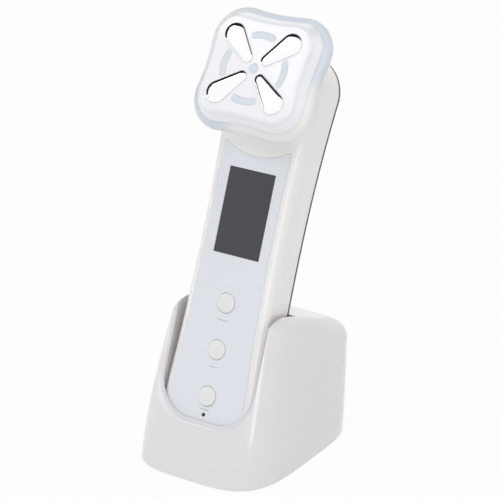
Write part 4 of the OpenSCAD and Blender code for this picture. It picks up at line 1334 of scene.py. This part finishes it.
def glow_ring(head):
    """The ring behind the cap, round its edge."""
    size = head.size
    r, back, front = size.ring_r, head.neck_q, size.cap_d
    profile = [
        (r - 2.0, back), (r - 1.0, back - 0.4), (r - 0.25, back - 1.3), (r, back - 2.4),
        (r - 0.1, front + 1.9), (r - 0.6, front + 0.95), (r - 1.5, front + 0.3), (r - 2.7, front),
    ]
    ring = head.skin("head_glow_ring", smoothed(profile))
    bore = size.cap_r - 4
    cut(ring, head.skin("bore", [(bore, back + 1), (bore, front - 1)]))
    return ring


class TONING_OT_head(bpy.types.Operator):
    """Cap and glow ring of the treatment head"""

    bl_idname = "toning.head"
    bl_label = "Head cap and glow ring"

    def execute(self, context):
        scene = context.scene
        tones = scene.toning_finish
        head = Head(sizes(scene.toning_handle, scene.toning_head))
        white = moulding("cap_white", tones.cap)
        dress(head_cap(head), white, "handset", "shell_white", "head_cap")
        # 238, 236, 235 is the painted see-through light of the white parts behind the ring.
        frost = frosted("ring_frosted", tones.ring, linear(238, 236, 235), head)
        dress(glow_ring(head), frost, "handset", "ring_frosted", "glow_ring")
        give("light_diffuser", lamp_lens("lamp_lens", tones.lights, head))
        return {"FINISHED"}


class TONING_OT_electrodes(bpy.types.Operator):
    """Four crowned electrodes with their studs, modelled once"""

    bl_idname = "toning.electrodes"
    bl_label = "Electrodes"

    def execute(self, context):
        scene = context.scene
        size = sizes(scene.toning_handle, scene.toning_head)
        head = Head(size)
        reach, edge, stud_end, steps = size.pad_tip_r - 0.1, 0.12, 7.15, 14
        profile = [(0, size.pad_seat), (0, size.pad_seat / 2), (0, -edge)]
        for i in range(1, steps + 1):
            a = 90 * i / steps
            profile.append((reach * (1 - cosine(a)), -mix(edge, size.pad_rise, sine(a))))
        pad = loft("electrode", placed([head.drop(o, y) for o, y in profile], WORLD))
        join(pad, peg(STUD_R, size.pad_seat - 0.1, stud_end, *head.stud, WORLD))
        mirrored = polished("electrode_mirror", scene.toning_finish.steel, 0.015, 0.015)
        for up, z in (("upper", 1), ("lower", -1)):
            for side, x in (("left", -1), ("right", 1)):
                node = f"{up}_{side}_electrode"
                copy = copy_of(pad, f"{node}_pad", head.matrix @ Matrix.Diagonal((x, 1, z, 1)))
                edit(copy)
                face_outwards()
                dress(copy, mirrored, "handset", "electrode_mirror", node, degrees=40)
        bpy.data.objects.remove(pad)
        return {"FINISHED"}


def frame_middle(node):
    low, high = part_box(node)
    return (low.z + high.z) / 2 / MM


class TONING_OT_cradle(bpy.types.Operator):
    """Cradle shell with its pocket and U-shaped rim"""

    bl_idname = "toning.cradle"
    bl_label = "Cradle shell"

    def execute(self, context):
        scene = context.scene
        size = sizes(scene.toning_handle, scene.toning_cradle)
        cradle = Cradle(size, Handle(size))
        shell = loft("cradle_body", placed(cradle.rings(0), WORLD))
        hollow = loft("hollow", placed(cradle.rings(size.cradle_wall, 120, 10, 6, 1), WORLD))
        cut(hollow, cradle.pocket(size.pocket_wall))
        for x, y in CRADLE_SCREWS:
            rib = block((x - 6.4, x + 6.4), (y - 0.8, y + 0.8), CRADLE_POST[1:], WORLD)
            cut(hollow, post(*CRADLE_POST, x, y, WORLD), rib)
        cut(shell, hollow, cradle.pocket(0), loft("notch", placed(cradle.notch_rings())))
        cut(shell, block(*PIN_SLOT))
        middle = frame_middle("power_inlet")
        inlet = INLET_X, INLET_Y, (middle - INLET_HALF, middle + INLET_HALF)
        cut(shell, block(*inlet, WORLD, INLET_HALF - 0.02, along=1))
        for x, y in CRADLE_SCREWS:
            cut(shell, post(*CRADLE_BORE, x, y, WORLD))
        white = moulding("cradle_white", scene.toning_finish.cradle, coat=1.0)
        dress(shell, white, "cradle", "shell_white", "cradle_shell")
        return {"FINISHED"}


class TONING_OT_fittings(bpy.types.Operator):
    """Finishes of the parts that keep the frame's own shape"""

    bl_idname = "toning.fittings"
    bl_label = "Fittings"

    def execute(self, context):
        black = (0.03, 0.03, 0.034)
        finishes = {
            moulding("inner_grey", linear(208, 210, 212), 0.45, 0.08, 0.0):
                ("base_plate", "rear_cover"),
            ribbed_rubber("pad_rubber", (0.05, 0.05, 0.055)): ("anti_slip_pad",),
            brushed("screw_steel", linear(202, 203, 206)): (
                "base_screws", "board_screws", "casing_screws",
                "head_screws", "pin_springs", "electrode_nuts",
            ),
            circuit("board_green", (0.03, 0.17, 0.08)): ("charging_board", "main_board"),
            mixed_parts("board_fittings", black, (0.55, 0.53, 0.48)):
                ("charging_board_parts", "board_parts"),
            brushed("inlet_steel", linear(192, 194, 198), 0.24): ("power_inlet",),
            moulding("black_plastic", black, 0.42, 0.12, 0.0): (
                "contact_block", "switch_bodies",
                "mode_plunger", "level_plunger", "power_plunger",
            ),
            brushed("contact_gold", (0.83, 0.62, 0.27), 0.2):
                ("pin_barrels", "left_spring_pin", "right_spring_pin", "charge_contacts"),
            rubber("lead_sleeve", (0.34, 0.03, 0.025)): ("contact_leads", "battery_leads"),
            rubber("harness_sleeve", (0.06, 0.06, 0.065)): ("head_harness",),
            smoked("display_glass", (0.03, 0.035, 0.04)): ("display_module",),
            smoked("indicator_dark", (0.01, 0.01, 0.012)): ("indicator_lens",),
            mixed_parts("transformer", (0.05, 0.04, 0.035), (0.5, 0.3, 0.06), 90):
                ("boost_transformer",),
            cell_wrap("cell_wrap", (0.04, 0.13, 0.3), (0.6, 0.6, 0.58)): ("battery",),
            circuit("led_board", (0.62, 0.63, 0.61)): ("led_board",),
            mixed_parts("led_bodies", (0.75, 0.6, 0.16), (0.7, 0.69, 0.62), 120): ("leds",),
        }
        for material, nodes in finishes.items():
            for node in nodes:
                give(node, material)
        return {"FINISHED"}


def backdrop(p, lit, white, share, kind):
    """Ends a floor or world that is white to the eye and in reflections, and lit for the rest."""
    rays = ("Is Camera Ray", "Is Glossy Ray", "Is Transmission Ray")
    seen = sum(p.node("ShaderNodeLightPath", out=ray) for ray in rays)
    factor = (seen * share).least(share)
    p.end(p.node("ShaderNodeMixShader", {}, {0: factor, 1: lit, 2: white}), kind)


def floor_plane():
    floor = primitive(bpy.ops.mesh.primitive_plane_add, "floor", size=6)
    p = paint("floor_pale")
    pale = p.blend(p.noise(3), (0.9, 0.9, 0.903), (0.92, 0.92, 0.923))
    diffuse = p.node("ShaderNodeBsdfDiffuse", {}, {0: pale})
    white = p.node("ShaderNodeEmission", {}, {0: (1, 1, 1), 1: 1.0})
    backdrop(p, diffuse, white, 0.93, "Material")
    floor.data.materials.append(p.owner)


def surroundings(strength):
    world = bpy.data.worlds.new("studio")
    bpy.context.scene.world = world
    p = Paint(world)
    light, white = (
        p.node("ShaderNodeBackground", {}, {0: (1, 1, 1), 1: power}) for power in (strength, 1)
    )
    backdrop(p, light, white, 1, "World")


def dark_card(name, place, size, turn):
    """A dark card beside the object that only reflections show."""
    add = bpy.ops.mesh.primitive_plane_add
    card = primitive(add, name, size=1, location=place, rotation=turn)
    card.scale = (*size, 1)
    p = paint(f"{name}_black")
    dark = p.blend(p.noise(4), (0.006, 0.006, 0.007), (0.01, 0.01, 0.012))
    card.data.materials.append(p.finish(Base_Color=dark, Roughness=0.9))
    card.visible_camera = card.visible_diffuse = False
    card.visible_shadow = card.visible_transmission = False


def soft_light(name, power, place, size, glossy=False):
    """A broad lamp turned to the object, which gloss shows only if told to."""
    data = bpy.data.lights.new(name, "AREA")
    data.energy = power
    data.shape = "RECTANGLE"
    data.size, data.size_y = size
    lamp = bpy.data.objects.new(name, data)
    bpy.context.scene.collection.objects.link(lamp)
    lamp.location = place
    lamp.rotation_euler = (Vector(place) - TARGET).to_track_quat("Z", "Y").to_euler()
    lamp.visible_glossy = glossy
    return lamp


def gleam(name, brightness, place, size):
    """A narrow lamp that only gloss shows, as a patch whose brightness 1 is white."""
    lamp = soft_light(name, brightness * math.pi * size[0] * size[1], place, size, glossy=True)
    lamp.visible_diffuse = lamp.visible_transmission = lamp.visible_camera = False


def camera(scene):
    data = bpy.data.cameras.new("camera")
    data.sensor_width = 36
    data.lens = 172.8
    data.clip_start = 0.05
    eye = bpy.data.objects.new("camera", data)
    scene.collection.objects.link(eye)
    eye.location = CAMERA
    eye.rotation_euler = Vector(CAMERA_BACK).to_track_quat("Z", "Y").to_euler()
    scene.camera = eye


class TONING_OT_stage(bpy.types.Operator):
    """Pale floor, soft lights, surroundings and camera"""

    bl_idname = "toning.stage"
    bl_label = "Stage"

    def execute(self, context):
        scene = context.scene
        studio = scene.toning_studio
        floor_plane()
        soft_light("key_light", studio.key, (0.45, -1.15, 1.35), (1, 1), glossy=True)
        soft_light("front_light", studio.front, (0.5, -1.5, 0.5), (1, 0.8))
        soft_light("left_light", studio.left, (-1.2, -0.5, 0.8), (0.9, 0.9))
        soft_light("right_light", studio.right, (1.3, 0.1, 0.6), (0.9, 0.9))
        soft_light("top_light", studio.top, (0.1, 0.2, 1.6), (1, 1))
        soft_light("back_light", studio.back, (-0.4, 1.4, 0.6), (0.9, 0.9))
        gleam("right_gleam", 2.6 * studio.gleam, (0.8, -0.95, 0.45), (0.28, 0.8))
        gleam("left_gleam", 7 * studio.gleam, (-1.2, -0.45, 0.13), (0.08, 0.24))
        gleam("upper_gleam", 2.2 * studio.gleam, (-0.75, -0.76, 1.14), (0.6, 0.2))
        surroundings(studio.world)
        dark_card("overhead_card", (-0.66, 0.51, 1.5), (3, 2), (0, 0, math.radians(27.3)))
        dark_card("left_card", (-1.4, 0.4, 0.8), (1.4, 2.6), (0, math.radians(90), 0))
        camera(scene)
        scene.view_settings.view_transform = "Standard"
        return {"FINISHED"}


class TONING_PT_panel(bpy.types.Panel):
    """Builds the toning handset piece by piece"""

    bl_label = "Toning handset"
    bl_idname = "TONING_PT_panel"
    bl_space_type = "VIEW_3D"
    bl_region_type = "UI"
    bl_category = "Toning"

    def draw(self, context):
        column = self.layout.column()
        for operator in OPERATORS:
            column.operator(operator.bl_idname)
        for name, group in GROUPS.items():
            box = self.layout.box()
            for key in group.__annotations__:
                box.prop(getattr(context.scene, name), key)


OPERATORS = (
    TONING_OT_stage,
    TONING_OT_cradle,
    TONING_OT_casing,
    TONING_OT_back_plate,
    TONING_OT_panel,
    TONING_OT_buttons,
    TONING_OT_head,
    TONING_OT_electrodes,
    TONING_OT_fittings,
)
CLASSES = (*GROUPS.values(), *OPERATORS, TONING_PT_panel)


def register():
    for c in CLASSES:
        bpy.utils.register_class(c)
    for name, group in GROUPS.items():
        setattr(bpy.types.Scene, name, PointerProperty(type=group))


def unregister():
    for name in GROUPS:
        delattr(bpy.types.Scene, name)
    for c in reversed(CLASSES):
        bpy.utils.unregister_class(c)


def main():
    register()
    bpy.ops.toning.stage()
    bpy.ops.toning.cradle()
    bpy.ops.toning.casing()
    bpy.ops.toning.back_plate()
    bpy.ops.toning.panel()
    bpy.ops.toning.buttons()
    bpy.ops.toning.head()
    bpy.ops.toning.electrodes()
    bpy.ops.toning.fittings()


if __name__ == "__main__":
    main()
